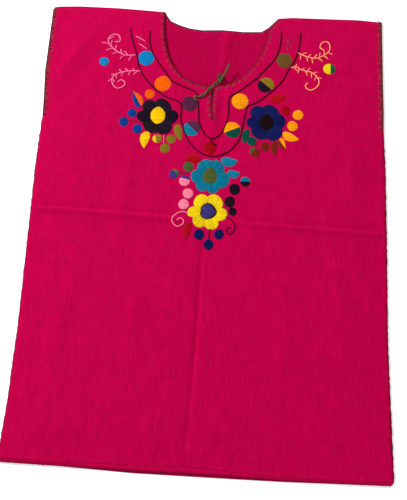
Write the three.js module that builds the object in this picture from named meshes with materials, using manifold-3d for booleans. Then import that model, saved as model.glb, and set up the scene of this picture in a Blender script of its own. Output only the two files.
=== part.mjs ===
// An embroidered blouse laid flat, seen from its front. Millimetres, +Z up.
// X runs across the garment from the left of the view, Y from the hem to the shoulders.
// The cloth is one straight length folded over the shoulders: the back half lies on the
// floor plane, and the front half lies on it and rolls over its top edge.
import * as THREE from "three";
import { mergeVertices } from "three/addons/utils/BufferGeometryUtils.js";
import Module from "manifold-3d";

// Driving sizes of the cloth
const CLOTH = 1.2;
const SEAM_GAP = 0.3;
const FRONT_BASE = CLOTH + SEAM_GAP;
const HALF_WIDTH = 290;
const HALF_LENGTH = 390;
const HEM_DEPTH = 8;
const HEM_THICKER = 0.8;
const LOFT = 1.5;
const LOFT_REACH = 70;
const CREASE_FADE = 25;
const FOLD_FADE = 30;

// Crocheted edging: a flat strand, with the heights of its middle on the back and the front
const STRAND_HALF_WIDE = 1.1;
const STRAND_HALF_HIGH = 0.6;
const STRAND_ON_BACK = STRAND_HALF_HIGH + 0.05;
const STRAND_ON_FRONT = FRONT_BASE + STRAND_HALF_HIGH + 0.05;
const UNDERARM = 173;
const CLOTH_STEPS_IN = [171, 171.2];
const ARM_TOP = 378;

// Tie cord, crocheted chain
const CORD = 3;
const CORD_SIDES = 8;
const CORD_STEP = 6;
const KNOT = { x: 10, y: 254.5, z: 5.3, halfX: 7.6, halfY: 4.4, halfZ: 3.2, turn: 49 };
const KNOT_LOOP = [
  [5.5, 254, 5],
  [3.4, 259, 4.7],
  [4.4, 264.5, 4.6],
  [8, 266.8, 4.6],
  [11.2, 264, 4.7],
  [11.4, 259, 5],
];

// Satin stitch: how far a filled motif stands off the cloth at its rim and its middle
const STITCH_RIM = 0.45;
const STITCH_MIDDLE = 0.9;
const STITCH_ROOT = 0.6;

// Outline of the laid cloth, edgings included
const SIDES = [
  { y: -390, left: -290, right: 291 },
  { y: -300, left: -286, right: 289 },
  { y: -180, left: -285, right: 287 },
  { y: -50, left: -288, right: 289 },
  { y: 90, left: -291, right: 290 },
  { y: 170, left: -290, right: 289 },
  { y: 205, left: -292, right: 290 },
  { y: 260, left: -296, right: 290 },
  { y: 390, left: -296, right: 291 },
];
const SHOULDERS = [
  { x: -297, y: 382 },
  { x: -293.5, y: 387.5 },
  { x: -285, y: 389.3 },
  { x: -249, y: 391.5 },
  { x: -177, y: 391 },
  { x: -95, y: 387 },
  { x: 106, y: 383 },
  { x: 132, y: 386 },
  { x: 250, y: 387 },
  { x: 285, y: 384.5 },
  { x: 289.5, y: 381.5 },
  { x: 291, y: 377 },
];
const HEMS = [
  { x: -290, front: -385, back: -386 },
  { x: -200, front: -386, back: -387 },
  { x: -90, front: -387, back: -391 },
  { x: 40, front: -387, back: -391.5 },
  { x: 130, front: -389, back: -391.5 },
  { x: 290, front: -388, back: -389 },
];

// Neckline of the front: half a squared ellipse on each side of the slit
const NECK_TOP = 385;
const NECK_LEFT = { half: 95, bottom: 241, power: 2.5 };
const NECK_RIGHT = { half: 93, bottom: 242, power: 2.05 };
const NECK_STEPS = 16;
const NECK_RIGHT_TURNS_OUT = 357;
const NECK_RIGHT_CORNER = { x: 106, y: 379 };
const SLIT = [
  { y: 239, x: -1.5, half: 3.4 },
  { y: 222, x: -3, half: 2.1 },
  { y: 199, x: -3, half: 1.8 },
  { y: 183, x: -1, half: 1.7 },
];
const SLIT_END = { x: 0, y: 177.5, radius: 1.6 };
const BACK_NECK = [
  { x: -92, y: 379 },
  { x: -84, y: 368 },
  { x: -69, y: 361 },
  { x: -51, y: 355 },
  { x: -28, y: 352 },
  { x: 10, y: 354 },
  { x: 47, y: 352 },
  { x: 78, y: 353.5 },
  { x: 91, y: 363 },
  { x: 104, y: 378 },
];

// Sharp creases left by folding: a dip, and a ridge that stands in it or beside it
const CROSS_CREASE_SLOPE = -0.034;
const CROSS_CREASE = { dip: 0.8, dipAt: -1, dipHalf: 8, ridge: 1.6, ridgeAt: 0.8, ridgeHalf: 2.6 };
const CENTRE_CREASE = { dip: 1.2, dipAt: -3, dipHalf: 6, ridge: 1.0, ridgeAt: 5, ridgeHalf: 3 };
const CENTRE_CREASE_TOP = -35;
const STITCHED_HALF_WIDTH = 48;
const CENTRE_CREASE_LINE = [
  { y: -390, x: -14 },
  { y: -250, x: -8 },
  { y: -160, x: -5 },
  { y: -40, x: -4 },
  { y: 110, x: 8 },
  { y: 170, x: 17 },
];

// Soft folds: ridges and, with a height below nothing, troughs
const FOLD_RUN = 0.45;
const SOFT_FOLDS = [
  { x1: -208, y1: 350, x2: -284, y2: 235, height: 1.6, half: 13 },
  { x1: -180, y1: 335, x2: -262, y2: 205, height: -1.0, half: 13 },
  { x1: -134, y1: 120, x2: -141, y2: -40, height: 1.2, half: 11 },
  { x1: -168, y1: 150, x2: -175, y2: -20, height: -0.7, half: 12 },
  { x1: -205, y1: -70, x2: -228, y2: -215, height: 1.3, half: 13 },
  { x1: -150, y1: -180, x2: -163, y2: -370, height: -0.9, half: 10 },
  { x1: -95, y1: -60, x2: -110, y2: -250, height: 0.9, half: 12 },
  { x1: 157, y1: 195, x2: 168, y2: 70, height: -1.0, half: 8 },
  { x1: 238, y1: 150, x2: 229, y2: 30, height: 1.2, half: 12 },
  { x1: 205, y1: -50, x2: 214, y2: -220, height: 1.1, half: 13 },
  { x1: 120, y1: -90, x2: 128, y2: -300, height: 0.8, half: 14 },
  { x1: 60, y1: -255, x2: 175, y2: -243, height: -0.8, half: 7 },
  { x1: 170, y1: 268, x2: 276, y2: 271, height: -0.7, half: 7 },
];

// Filled motifs of the embroidery: flowers, round dots and leaves. A petal has the turn and
// the reach of its tip, and then those of the dip where it meets the next petal
const FLOWER_EYE = 13.5;
const PETAL_FULLNESS = 0.7;
const EYE_STAND = 0.4;
const FLOWERS = [
  {
    x: -93,
    y: 181,
    petals: [
      { turn: 3, reach: 35.5, dipTurn: 29, dipReach: 25 },
      { turn: 81, reach: 33.5, dipTurn: 105, dipReach: 27 },
      { turn: 130, reach: 36, dipTurn: 161, dipReach: 27.5 },
      { turn: 181, reach: 37, dipTurn: 209, dipReach: 29 },
      { turn: 248, reach: 34.5, dipTurn: 273.5, dipReach: 31 },
      { turn: 298, reach: 38, dipTurn: 329, dipReach: 27.4 },
    ],
  },
  {
    x: 91,
    y: 177.5,
    petals: [
      { turn: 11, reach: 33.6, dipTurn: 38.5, dipReach: 28 },
      { turn: 83, reach: 34.2, dipTurn: 104, dipReach: 29.3 },
      { turn: 128, reach: 37, dipTurn: 160, dipReach: 27.7 },
      { turn: 182, reach: 34.5, dipTurn: 204, dipReach: 28.4 },
      { turn: 244, reach: 34.5, dipTurn: 274, dipReach: 30 },
      { turn: 299, reach: 37, dipTurn: 340, dipReach: 28.2 },
    ],
  },
  {
    x: 0.5,
    y: 75.5,
    petals: [
      { turn: -9, reach: 34, dipTurn: 20, dipReach: 25 },
      { turn: 68, reach: 32, dipTurn: 86, dipReach: 29 },
      { turn: 113, reach: 31.6, dipTurn: 152, dipReach: 24.8 },
      { turn: 181, reach: 32.5, dipTurn: 208, dipReach: 26.6 },
      { turn: 235, reach: 31, dipTurn: 259, dipReach: 24.4 },
      { turn: 286, reach: 30.5, dipTurn: 311, dipReach: 27.3 },
    ],
  },
  {
    x: 1,
    y: 14.5,
    petals: [
      { turn: -7, reach: 31, dipTurn: 19, dipReach: 23.2 },
      { turn: 68, reach: 31.8, dipTurn: 97, dipReach: 25.2 },
      { turn: 120, reach: 33, dipTurn: 161, dipReach: 24.8 },
      { turn: 189, reach: 35, dipTurn: 203, dipReach: 26 },
      { turn: 231, reach: 32.5, dipTurn: 258, dipReach: 25.6 },
      { turn: 288, reach: 31.5, dipTurn: 318, dipReach: 23 },
    ],
  },
];
const DOTS = [
  { x: -122, y: 290, r: 14 },
  { x: -89, y: 242, r: 14.5 },
  { x: -41, y: 206, r: 14 },
  { x: -34, y: 161, r: 14.5 },
  { x: 34, y: 161, r: 14.5 },
  { x: 45, y: 215, r: 14.5 },
  { x: 88, y: 248, r: 14.5 },
  { x: 119, y: 297, r: 14 },
  { x: -2, y: 126, r: 11 },
  { x: -194, y: 280, r: 8.5 },
  { x: 197, y: 284, r: 9.5 },
  { x: -110, y: 221, r: 8.5 },
  { x: -137, y: 184, r: 8 },
  { x: -150, y: 167, r: 8.5 },
  { x: -126, y: 155, r: 8.5 },
  { x: -91, y: 139, r: 8 },
  { x: -68, y: 139, r: 8 },
  { x: -77, y: 122, r: 8.5 },
  { x: 123, y: 202, r: 8.7 },
  { x: 144, y: 194, r: 9 },
  { x: 135, y: 173, r: 9 },
  { x: 90, y: 133, r: 8 },
  { x: 73, y: 122, r: 9 },
  { x: 67, y: 140.5, r: 8.5 },
  { x: -36, y: 91, r: 8.5 },
  { x: -59, y: 77, r: 8.5 },
  { x: -41, y: 66, r: 9 },
  { x: -34, y: 44, r: 8.7 },
  { x: -40, y: 25, r: 8.7 },
  { x: 59, y: 69, r: 8.5 },
  { x: 42, y: 55, r: 9 },
  { x: 35, y: 33, r: 9 },
  { x: 40, y: 17, r: 7.5 },
  { x: -12, y: -25, r: 9 },
  { x: 20, y: -23, r: 8.5 },
  { x: 4, y: -41, r: 8.5 },
];
const LEAVES = [
  { x1: -123, y1: 198, x2: -139, y2: 224, wide: 18 },
  { x1: -112, y1: 150, x2: -112, y2: 121, wide: 17 },
  { x1: -61, y1: 165, x2: -51, y2: 137, wide: 14 },
  { x1: 98, y1: 217, x2: 124, y2: 229, wide: 17 },
  { x1: 119, y1: 156, x2: 146, y2: 149, wide: 16 },
  { x1: 113, y1: 147, x2: 124, y2: 131, wide: 14 },
  { x1: 104, y1: 143, x2: 107, y2: 117, wide: 13 },
  { x1: 59, y1: 162, x2: 53, y2: 137, wide: 14 },
  { x1: -40, y1: 105, x2: -16, y2: 106, wide: 19 },
  { x1: 19.5, y1: 101, x2: 45, y2: 105.5, wide: 19 },
  { x1: 31, y1: 77.5, x2: 48.5, y2: 86, wide: 16 },
  { x1: -30, y1: -7, x2: -32, y2: -32, wide: 14 },
];

// Grid lines of the front wall, close together where it has a crease, a hem or a seam
const COLUMNS = [-290, -284, -262, -232, -202, -172, -146, -120, -94, -66, -42];
const COLUMNS_AT_CREASE = [-22, -12, -7, -3, 1, 5, 9, 16];
const ROWS_BELOW = [-390, -383, -382, -360, -325, -285, -245, -205, -165, -125, -85, -50];
const ROWS_AT_CREASE = [-26, -12, -6, -2.5, 0.8, 4, 9, 20];
const ROWS_ABOVE = [50, 85, 125, ...CLOTH_STEPS_IN, 200, 235, 270, 305, 340, 370];
const CREASE_REACH = 40;
const END_REACH = 300;

// The roll over the shoulder: places past the back's top edge, and heights, of both faces
const SHOULDER_ROLL = [
  { outer: -2, outerZ: 2.7, inner: -2, innerZ: 1.5 },
  { outer: 0.7, outerZ: 2.3, inner: 0.1, innerZ: 1.48 },
  { outer: 1.5, outerZ: 1.4, inner: 0.3, innerZ: 1.1 },
  { outer: 1.5, outerZ: 0, inner: 0.3, innerZ: 0 },
];
const ROLL = 1.5;

const CLOTH_COLOUR = 0xc3004b;
const EDGING_COLOUR = 0x55603c;
const CORD_COLOUR = 0x5f7148;

const wasm = await Module();
wasm.setup();

// The value of one column of a table at a place between its rows, kept level past its ends
function between(rows, along, value, at) {
  if (at <= rows[0][along]) return rows[0][value];
  for (let i = 1; i < rows.length; i++) {
    if (at > rows[i][along]) continue;
    const share = (at - rows[i - 1][along]) / (rows[i][along] - rows[i - 1][along]);
    return rows[i - 1][value] + share * (rows[i][value] - rows[i - 1][value]);
  }
  return rows[rows.length - 1][value];
}

function bell(distance, half) {
  return Math.exp(-((distance / half) ** 2));
}

function smooth(share) {
  const held = Math.min(Math.max(share, 0), 1);
  return held * held * (3 - 2 * held);
}

function creaseHeight(crease, distance) {
  const ridge = crease.ridge * bell(distance - crease.ridgeAt, crease.ridgeHalf);
  return ridge - crease.dip * bell(distance - crease.dipAt, crease.dipHalf);
}

// A soft fold is highest at its middle and runs out at both ends
function foldHeight(fold, x, y) {
  const along = new THREE.Vector2(fold.x2 - fold.x1, fold.y2 - fold.y1);
  const length = along.length();
  along.normalize();
  const from = new THREE.Vector2(x - fold.x1, y - fold.y1);
  const run = from.dot(along) / length - 0.5;
  return fold.height * bell(from.cross(along), fold.half) * bell(run, FOLD_RUN);
}

// How far the front is lifted off the back at a point of the laid garment
function lift(x, y) {
  const left = x - between(SIDES, "y", "left", y);
  const right = between(SIDES, "y", "right", y) - x;
  const up = between(SHOULDERS, "x", "y", x) - y;
  const down = y - between(HEMS, "x", "front", x);
  const nearest = Math.min(left, right, up, down);
  const stiff = 1 - bell(x, STITCHED_HALF_WIDTH);
  const cross = stiff * creaseHeight(CROSS_CREASE, y - CROSS_CREASE_SLOPE * x);
  const centreFade = smooth((CENTRE_CREASE_TOP - y) / CREASE_FADE);
  const centre = creaseHeight(CENTRE_CREASE, x - between(CENTRE_CREASE_LINE, "y", "x", y));
  const folds = SOFT_FOLDS.reduce((sum, fold) => sum + foldHeight(fold, x, y), 0);
  const creases = smooth(nearest / CREASE_FADE) * (cross + centreFade * centre);
  const soft = LOFT * smooth(nearest / LOFT_REACH) + folds * smooth(nearest / FOLD_FADE);
  return Math.max(0, soft + creases);
}

function geometryOf(points, triangles) {
  const geometry = new THREE.BufferGeometry();
  geometry.setAttribute("position", new THREE.Float32BufferAttribute(points.flat(), 3));
  geometry.setIndex(triangles.flat());
  return geometry;
}

function solidOf(geometry) {
  const bare = geometry.clone();
  bare.deleteAttribute("normal");
  bare.deleteAttribute("uv");
  const merged = mergeVertices(bare, 1e-3);
  return new wasm.Manifold(
    new wasm.Mesh({
      numProp: 3,
      vertProperties: new Float32Array(merged.attributes.position.array),
      triVerts: new Uint32Array(merged.index.array),
    }),
  );
}

function geometryFrom(solid) {
  const mesh = solid.getMesh();
  const geometry = new THREE.BufferGeometry();
  geometry.setAttribute("position", new THREE.Float32BufferAttribute(mesh.vertProperties, 3));
  geometry.setIndex(new THREE.Uint32BufferAttribute(mesh.triVerts, 1));
  return geometry;
}

// A closed wall between an outer and an inner grid of points, both as rows of columns
function wall(outer, inner) {
  const rows = outer.length;
  const columns = outer[0].length;
  const points = [...outer.flat(), ...inner.flat()];
  const top = (r, c) => r * columns + c;
  const under = (r, c) => rows * columns + r * columns + c;
  const triangles = [];
  const quad = (a, b, c, d) => triangles.push([a, b, c], [a, c, d]);
  for (let r = 0; r < rows - 1; r++) {
    for (let c = 0; c < columns - 1; c++) {
      quad(top(r, c), top(r, c + 1), top(r + 1, c + 1), top(r + 1, c));
      quad(under(r, c), under(r + 1, c), under(r + 1, c + 1), under(r, c + 1));
    }
    const last = columns - 1;
    quad(top(r, 0), top(r + 1, 0), under(r + 1, 0), under(r, 0));
    quad(top(r, last), under(r, last), under(r + 1, last), top(r + 1, last));
  }
  for (let c = 0; c < columns - 1; c++) {
    const last = rows - 1;
    quad(top(0, c), under(0, c), under(0, c + 1), top(0, c + 1));
    quad(top(last, c), top(last, c + 1), under(last, c + 1), under(last, c));
  }
  return geometryOf(points, triangles);
}

// A flat strand of eight sides through centre points, joined up where it is a ring. Its
// section is halfHigh along the held direction and halfWide across that and the path
function strand(centres, halfWide, halfHigh, held, isRing) {
  const sides = 8;
  const count = centres.length;
  const points = [];
  const triangles = [];
  for (let i = 0; i < count; i++) {
    const before = isRing ? centres[(i + count - 1) % count] : centres[Math.max(i - 1, 0)];
    const after = isRing ? centres[(i + 1) % count] : centres[Math.min(i + 1, count - 1)];
    const along = after.clone().sub(before).normalize();
    const wide = new THREE.Vector3().crossVectors(along, held).normalize();
    const high = new THREE.Vector3().crossVectors(wide, along);
    for (let s = 0; s < sides; s++) {
      const turn = ((s + 0.5) / sides) * 2 * Math.PI;
      const point = centres[i].clone();
      point.addScaledVector(wide, (halfWide * Math.cos(turn)) / Math.cos(Math.PI / sides));
      point.addScaledVector(high, (halfHigh * Math.sin(turn)) / Math.cos(Math.PI / sides));
      points.push(point.toArray());
    }
  }
  for (let i = 0; i < (isRing ? count : count - 1); i++) {
    const next = (i + 1) % count;
    for (let s = 0; s < sides; s++) {
      const t = (s + 1) % sides;
      triangles.push([i * sides + s, next * sides + t, i * sides + t]);
      triangles.push([i * sides + s, next * sides + s, next * sides + t]);
    }
  }
  const last = (count - 1) * sides;
  for (let s = 1; !isRing && s < sides - 1; s++) {
    triangles.push([0, s, s + 1], [last, last + s + 1, last + s]);
  }
  return geometryOf(points, triangles);
}

// Points moved sideways off a path, to its right as it runs
function beside(path, distance) {
  return path.map((point, i) => {
    const before = path[Math.max(i - 1, 0)];
    const after = path[Math.min(i + 1, path.length - 1)];
    const along = new THREE.Vector2(after.x - before.x, after.y - before.y).normalize();
    return new THREE.Vector2(point.x + distance * along.y, point.y - distance * along.x);
  });
}

// One side of the neckline from the shoulder to beside the slit; side is -1 on the left
function neckSide(half, side, stopAt) {
  const path = [];
  for (let i = 0; i <= NECK_STEPS; i++) {
    const turn = ((i / NECK_STEPS) * Math.PI) / 2;
    const x = half.half * Math.cos(turn) ** (2 / half.power);
    const y = NECK_TOP - (NECK_TOP - half.bottom) * Math.sin(turn) ** (2 / half.power);
    if (x > stopAt) path.push(new THREE.Vector2(side * x, y));
  }
  return path;
}

// Centre line of the front neck's edging: left shoulder, slit, right shoulder
function frontNeckPath() {
  const left = neckSide(NECK_LEFT, -1, 8);
  const right = neckSide(NECK_RIGHT, 1, 6).filter((point) => point.y < NECK_RIGHT_TURNS_OUT);
  const down = SLIT.map((row) => new THREE.Vector2(row.x - row.half, row.y));
  const up = SLIT.map((row) => new THREE.Vector2(row.x + row.half, row.y)).reverse();
  const turn = [180, 225, 270, 315, 360].map((degrees) => {
    const angle = THREE.MathUtils.degToRad(degrees);
    const x = SLIT_END.x + SLIT_END.radius * Math.cos(angle);
    return new THREE.Vector2(x, SLIT_END.y + SLIT_END.radius * Math.sin(angle));
  });
  const corner = new THREE.Vector2(NECK_RIGHT_CORNER.x, NECK_RIGHT_CORNER.y);
  return [...left, ...down, ...turn, ...up, ...right.reverse(), corner];
}

function backNeckPath() {
  return BACK_NECK.map((row) => new THREE.Vector2(row.x, row.y));
}

// The block taken out of a panel at its neck, wider than the edging's path by its half
function neckCutter(path, margin) {
  const edge = beside(path, margin);
  const past = HALF_LENGTH + 30;
  const first = new THREE.Vector2(edge[0].x, past);
  const last = new THREE.Vector2(edge[edge.length - 1].x, past);
  const shape = new THREE.Shape([first, ...edge, last]);
  const block = new THREE.ExtrudeGeometry(shape, { depth: 24, bevelEnabled: false });
  return block.translate(0, 0, -8);
}

// A grid point of the laid cloth, with the garment's real outline
function laid(column, row) {
  const shoulder = between(SHOULDERS, "x", "y", column) - ROLL;
  const tall = row < 0 ? -between(HEMS, "x", "front", column) : shoulder;
  const nearEnd = smooth((Math.abs(row) - END_REACH) / (HALF_LENGTH - END_REACH));
  const y = row + Math.sign(row) * nearEnd * (tall - HALF_LENGTH);
  const wide = column < 0 ? -between(SIDES, "y", "left", y) : between(SIDES, "y", "right", y);
  const edging = y > CLOTH_STEPS_IN[0] ? 2 * STRAND_HALF_WIDE + SEAM_GAP : 0;
  return { x: (column * (wide - edging)) / HALF_WIDTH, y };
}

// The front's columns bend with the centre crease, and its rows with the cross crease
function gridPoint(column, row) {
  const near = smooth(1 - Math.max(0, Math.abs(column) - 22) / CREASE_REACH);
  const bentColumn = column + near * between(CENTRE_CREASE_LINE, "y", "x", row);
  const nearRow = smooth(1 - Math.max(0, Math.abs(row) - 26) / CREASE_REACH);
  return laid(bentColumn, row + nearRow * CROSS_CREASE_SLOPE * bentColumn);
}

function frontWall() {
  const right = COLUMNS.map((column) => -column).reverse();
  const columns = [...COLUMNS, ...COLUMNS_AT_CREASE, ...right];
  const rows = [...ROWS_BELOW, ...ROWS_AT_CREASE, ...ROWS_ABOVE];
  const outer = [];
  const inner = [];
  for (const row of rows) {
    const inHem = row < -HALF_LENGTH + HEM_DEPTH;
    const places = columns.map((column) => gridPoint(column, row));
    const base = places.map(({ x, y }) => FRONT_BASE + lift(x, y));
    inner.push(places.map(({ x, y }, i) => [x, y, base[i]]));
    outer.push(places.map(({ x, y }, i) => [x, y, base[i] + CLOTH + (inHem ? HEM_THICKER : 0)]));
  }
  for (const roll of SHOULDER_ROLL) {
    const places = columns.map((column) => gridPoint(column, HALF_LENGTH));
    outer.push(places.map(({ x, y }) => [x, y + roll.outer, roll.outerZ]));
    inner.push(places.map(({ x, y }) => [x, y + roll.inner, roll.innerZ]));
  }
  return wall(outer, inner);
}

// A low pad of satin stitch on the front, from rings of points that shrink to its middle
function pad(outline, middle, rings) {
  const points = [];
  const triangles = [];
  const count = outline.length;
  const surface = (x, y) => FRONT_BASE + lift(x, y) + CLOTH;
  const add = (x, y, height) => points.push([x, y, surface(x, y) + height]);
  for (const height of [1, -1]) {
    for (let ring = 0; ring < rings; ring++) {
      const size = 1 - ring / rings;
      const stand = STITCH_RIM + (STITCH_MIDDLE - STITCH_RIM) * smooth(1 - size + 0.3);
      for (const point of outline) {
        const x = middle.x + (point.x - middle.x) * size;
        const y = middle.y + (point.y - middle.y) * size;
        add(x, y, height > 0 ? (ring ? stand : STITCH_RIM) : -STITCH_ROOT);
      }
    }
    add(middle.x, middle.y, height > 0 ? STITCH_MIDDLE : -STITCH_ROOT);
  }
  const layer = rings * count + 1;
  for (let i = 0; i < count; i++) {
    const next = (i + 1) % count;
    for (let ring = 0; ring < rings - 1; ring++) {
      const a = ring * count;
      const b = a + count;
      triangles.push([a + i, a + next, b + next], [a + i, b + next, b + i]);
      triangles.push([layer + a + i, layer + b + next, layer + a + next]);
      triangles.push([layer + a + i, layer + b + i, layer + b + next]);
    }
    const last = (rings - 1) * count;
    triangles.push([last + i, last + next, layer - 1]);
    triangles.push([layer + last + next, layer + last + i, 2 * layer - 1]);
    triangles.push([i, layer + i, layer + next], [i, layer + next, next]);
  }
  return geometryOf(points, triangles);
}

function roundOutline(x, y, radius, sides) {
  return Array.from({ length: sides }, (_, i) => {
    const turn = (i / sides) * 2 * Math.PI;
    return { x: x + radius * Math.cos(turn), y: y + radius * Math.sin(turn) };
  });
}

// Four points for each petal: the dip before it, and three round its tip
function flowerOutline(flower) {
  const count = flower.petals.length;
  return flower.petals.flatMap((petal, i) => {
    const before = flower.petals[(i + count - 1) % count];
    const corners = [
      { dip: before, share: 1 },
      { dip: before, share: 0.5 },
      { dip: petal, share: 0 },
      { dip: petal, share: 0.5 },
    ];
    return corners.map(({ dip, share }) => {
      const span = ((dip.dipTurn - petal.turn + 540) % 360) - 180;
      const fullness = Math.max(0, Math.cos((share * Math.PI) / 2)) ** PETAL_FULLNESS;
      const length = dip.dipReach + (petal.reach - dip.dipReach) * fullness;
      const angle = THREE.MathUtils.degToRad(petal.turn + span * share);
      return { x: flower.x + length * Math.cos(angle), y: flower.y + length * Math.sin(angle) };
    });
  });
}

// A leaf is widest a third of the way from its base and runs to a point
function leafOutline(leaf) {
  const along = new THREE.Vector2(leaf.x2 - leaf.x1, leaf.y2 - leaf.y1);
  const shape = [
    { run: 0.04, side: 0.6 },
    { run: 0.36, side: 1 },
    { run: 0.7, side: 0.7 },
    { run: 1, side: 0 },
    { run: 0.7, side: -0.7 },
    { run: 0.36, side: -1 },
    { run: 0.04, side: -0.6 },
  ];
  const across = new THREE.Vector2(along.y, -along.x).setLength(leaf.wide / 2);
  return shape.map(({ run, side }) => ({
    x: leaf.x1 + along.x * run + across.x * side,
    y: leaf.y1 + along.y * run + across.y * side,
  }));
}

function stitchedPads() {
  const flowers = FLOWERS.map((flower) => pad(flowerOutline(flower), flower, 3));
  const eyes = FLOWERS.map(({ x, y }) => pad(roundOutline(x, y, FLOWER_EYE, 12), { x, y }, 2));
  const dots = DOTS.map(({ x, y, r }) => pad(roundOutline(x, y, r, r > 10 ? 12 : 8), { x, y }, 1));
  const leaves = LEAVES.map((leaf) => {
    const middle = { x: (leaf.x1 + leaf.x2) / 2, y: (leaf.y1 + leaf.y2) / 2 };
    return pad(leafOutline(leaf), middle, 1);
  });
  const raisedEyes = eyes.map((eye) => eye.translate(0, 0, EYE_STAND));
  return [...flowers, ...raisedEyes, ...dots, ...leaves];
}

function mesh(name, geometry, colour, roughness) {
  const material = new THREE.MeshStandardMaterial({ color: colour, roughness, metalness: 0 });
  const made = new THREE.Mesh(geometry, material);
  made.name = name;
  return made;
}

function frontPanel() {
  const cutter = solidOf(neckCutter(frontNeckPath(), STRAND_HALF_WIDE + SEAM_GAP));
  const cut = solidOf(frontWall()).subtract(cutter);
  const raised = stitchedPads().reduce((cloth, stitches) => cloth.add(solidOf(stitches)), cut);
  return mesh("front_panel", geometryFrom(raised), CLOTH_COLOUR, 0.85);
}

function backPanel() {
  const right = COLUMNS.map((column) => -column).reverse();
  const columns = [...COLUMNS, 0, ...right];
  const rows = [...SIDES.map(({ y }) => y), ...CLOTH_STEPS_IN].sort((a, b) => a - b);
  const level = (height) =>
    rows.map((row) =>
      columns.map((column) => {
        const place = laid(column, row);
        const y = row === rows[0] ? between(HEMS, "x", "back", column) : place.y;
        return [place.x, y, height];
      }),
    );
  const cutter = solidOf(neckCutter(backNeckPath(), STRAND_HALF_WIDE + SEAM_GAP));
  const cut = solidOf(wall(level(CLOTH), level(0))).subtract(cutter);
  return mesh("back_panel", geometryFrom(cut), CLOTH_COLOUR, 0.85);
}

function neckEdging(name, path, heightAt) {
  const centres = path.map((point) => new THREE.Vector3(point.x, point.y, heightAt(point)));
  const up = new THREE.Vector3(0, 0, 1);
  const geometry = strand(centres, STRAND_HALF_WIDE, STRAND_HALF_HIGH, up, false);
  return mesh(name, geometry, EDGING_COLOUR, 0.8);
}

// An armhole lies shut: its front strand rests on its back strand, joined at both ends
function armholeEdging(name, side) {
  const rows = [UNDERARM, 190, 205, 232, 260, 300, 340, ARM_TOP];
  const low = STRAND_ON_BACK;
  const high = STRAND_ON_FRONT;
  const from = Math.sign(between(SIDES, "y", side, UNDERARM));
  const place = (y, z) => {
    const x = between(SIDES, "y", side, y) - from * STRAND_HALF_WIDE;
    return new THREE.Vector3(x, y, z);
  };
  const middle = (low + high) / 2;
  const bend = (high - low) / 2;
  const turn = [-45, 0, 45].map(THREE.MathUtils.degToRad);
  const path = [
    ...rows.map((y) => place(y, high)),
    ...turn.toReversed().map((t) => place(ARM_TOP + bend * Math.cos(t), middle + bend * Math.sin(t))),
    ...rows.toReversed().map((y) => place(y, low)),
    ...turn.map((t) => place(UNDERARM - bend * Math.cos(t), middle + bend * Math.sin(t))),
  ];
  const across = new THREE.Vector3(1, 0, 0);
  const geometry = strand(path, STRAND_HALF_HIGH, STRAND_HALF_WIDE, across, true);
  return mesh(name, geometry, EDGING_COLOUR, 0.8);
}

// A stretch of the tie cord, through points chosen by hand
function cordTube(points) {
  const curve = new THREE.CatmullRomCurve3(points.map((point) => new THREE.Vector3(...point)));
  const section = new THREE.Shape(
    roundOutline(0, 0, CORD / 2, CORD_SIDES).map(({ x, y }) => new THREE.Vector2(x, y)),
  );
  const steps = Math.max(4, Math.round(curve.getLength() / CORD_STEP) * 2);
  return new THREE.ExtrudeGeometry(section, { steps, extrudePath: curve, bevelEnabled: false });
}

function cord(name, points) {
  return mesh(name, cordTube(points), CORD_COLOUR, 0.8);
}

// The knot is a long round mass, with a short loop of the cord left standing beside it
function knot() {
  const ball = new THREE.SphereGeometry(1, 12, 8).rotateX(Math.PI / 2);
  const turn = THREE.MathUtils.degToRad(KNOT.turn);
  ball.scale(KNOT.halfX, KNOT.halfY, KNOT.halfZ).rotateZ(turn).translate(KNOT.x, KNOT.y, KNOT.z);
  const joined = solidOf(ball).add(solidOf(cordTube(KNOT_LOOP)));
  return mesh("tie_knot", geometryFrom(joined), CORD_COLOUR, 0.8);
}

const blouse = new THREE.Group();
blouse.add(backPanel(), frontPanel());
blouse.add(
  neckEdging("front_neck_edging", frontNeckPath(), ({ x, y }) => STRAND_ON_FRONT + lift(x, y)),
);
blouse.add(neckEdging("back_neck_edging", backNeckPath(), () => STRAND_ON_BACK));
blouse.add(armholeEdging("left_armhole_edging", "left"));
blouse.add(armholeEdging("right_armhole_edging", "right"));
blouse.add(knot());
blouse.add(
  cord("tie_left_end", [
    [4.7, 248.4, 5.6],
    [-1, 243, 6.5],
    [-10, 232.5, 7],
    [-19, 222.5, 7],
    [-25, 219, 7.1],
    [-31, 219.5, 7.2],
    [-33.5, 216, 7.2],
    [-30.5, 212.6, 7.2],
    [-26, 213.2, 7.2],
  ]),
);
blouse.add(
  cord("tie_right_end", [
    [8.6, 246.2, 6.9],
    [9.8, 249.3, 8.9],
    [11.5, 253, 10.4],
    [14, 258, 10.2],
    [17, 263.5, 10.8],
    [20.5, 271.5, 12.3],
    [23.9, 281, 13.5],
  ]),
);

export default blouse;
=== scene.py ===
# %% [markdown]
# # An embroidered blouse, laid flat
# The blouse is one straight length of magenta cotton, folded over the shoulders, with a neck cut
# in the fold. It lies on its back half, front up. The front is worked with satin and stem stitch,
# the neck and armholes have a needle-worked edging, and a thin two-ply tie is knotted at the slit.
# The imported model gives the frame: the same axes, in metres, with X across the blouse, Y from
# hem to shoulders and Z up. Everything below is measured in millimetres and turned to metres
# only where a mesh is made, because a maker thinks of stitches and seams in millimetres.

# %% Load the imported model
import math
import random

import bpy
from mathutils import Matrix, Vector
from mathutils.geometry import delaunay_2d_cdt
from mathutils.kdtree import KDTree


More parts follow.
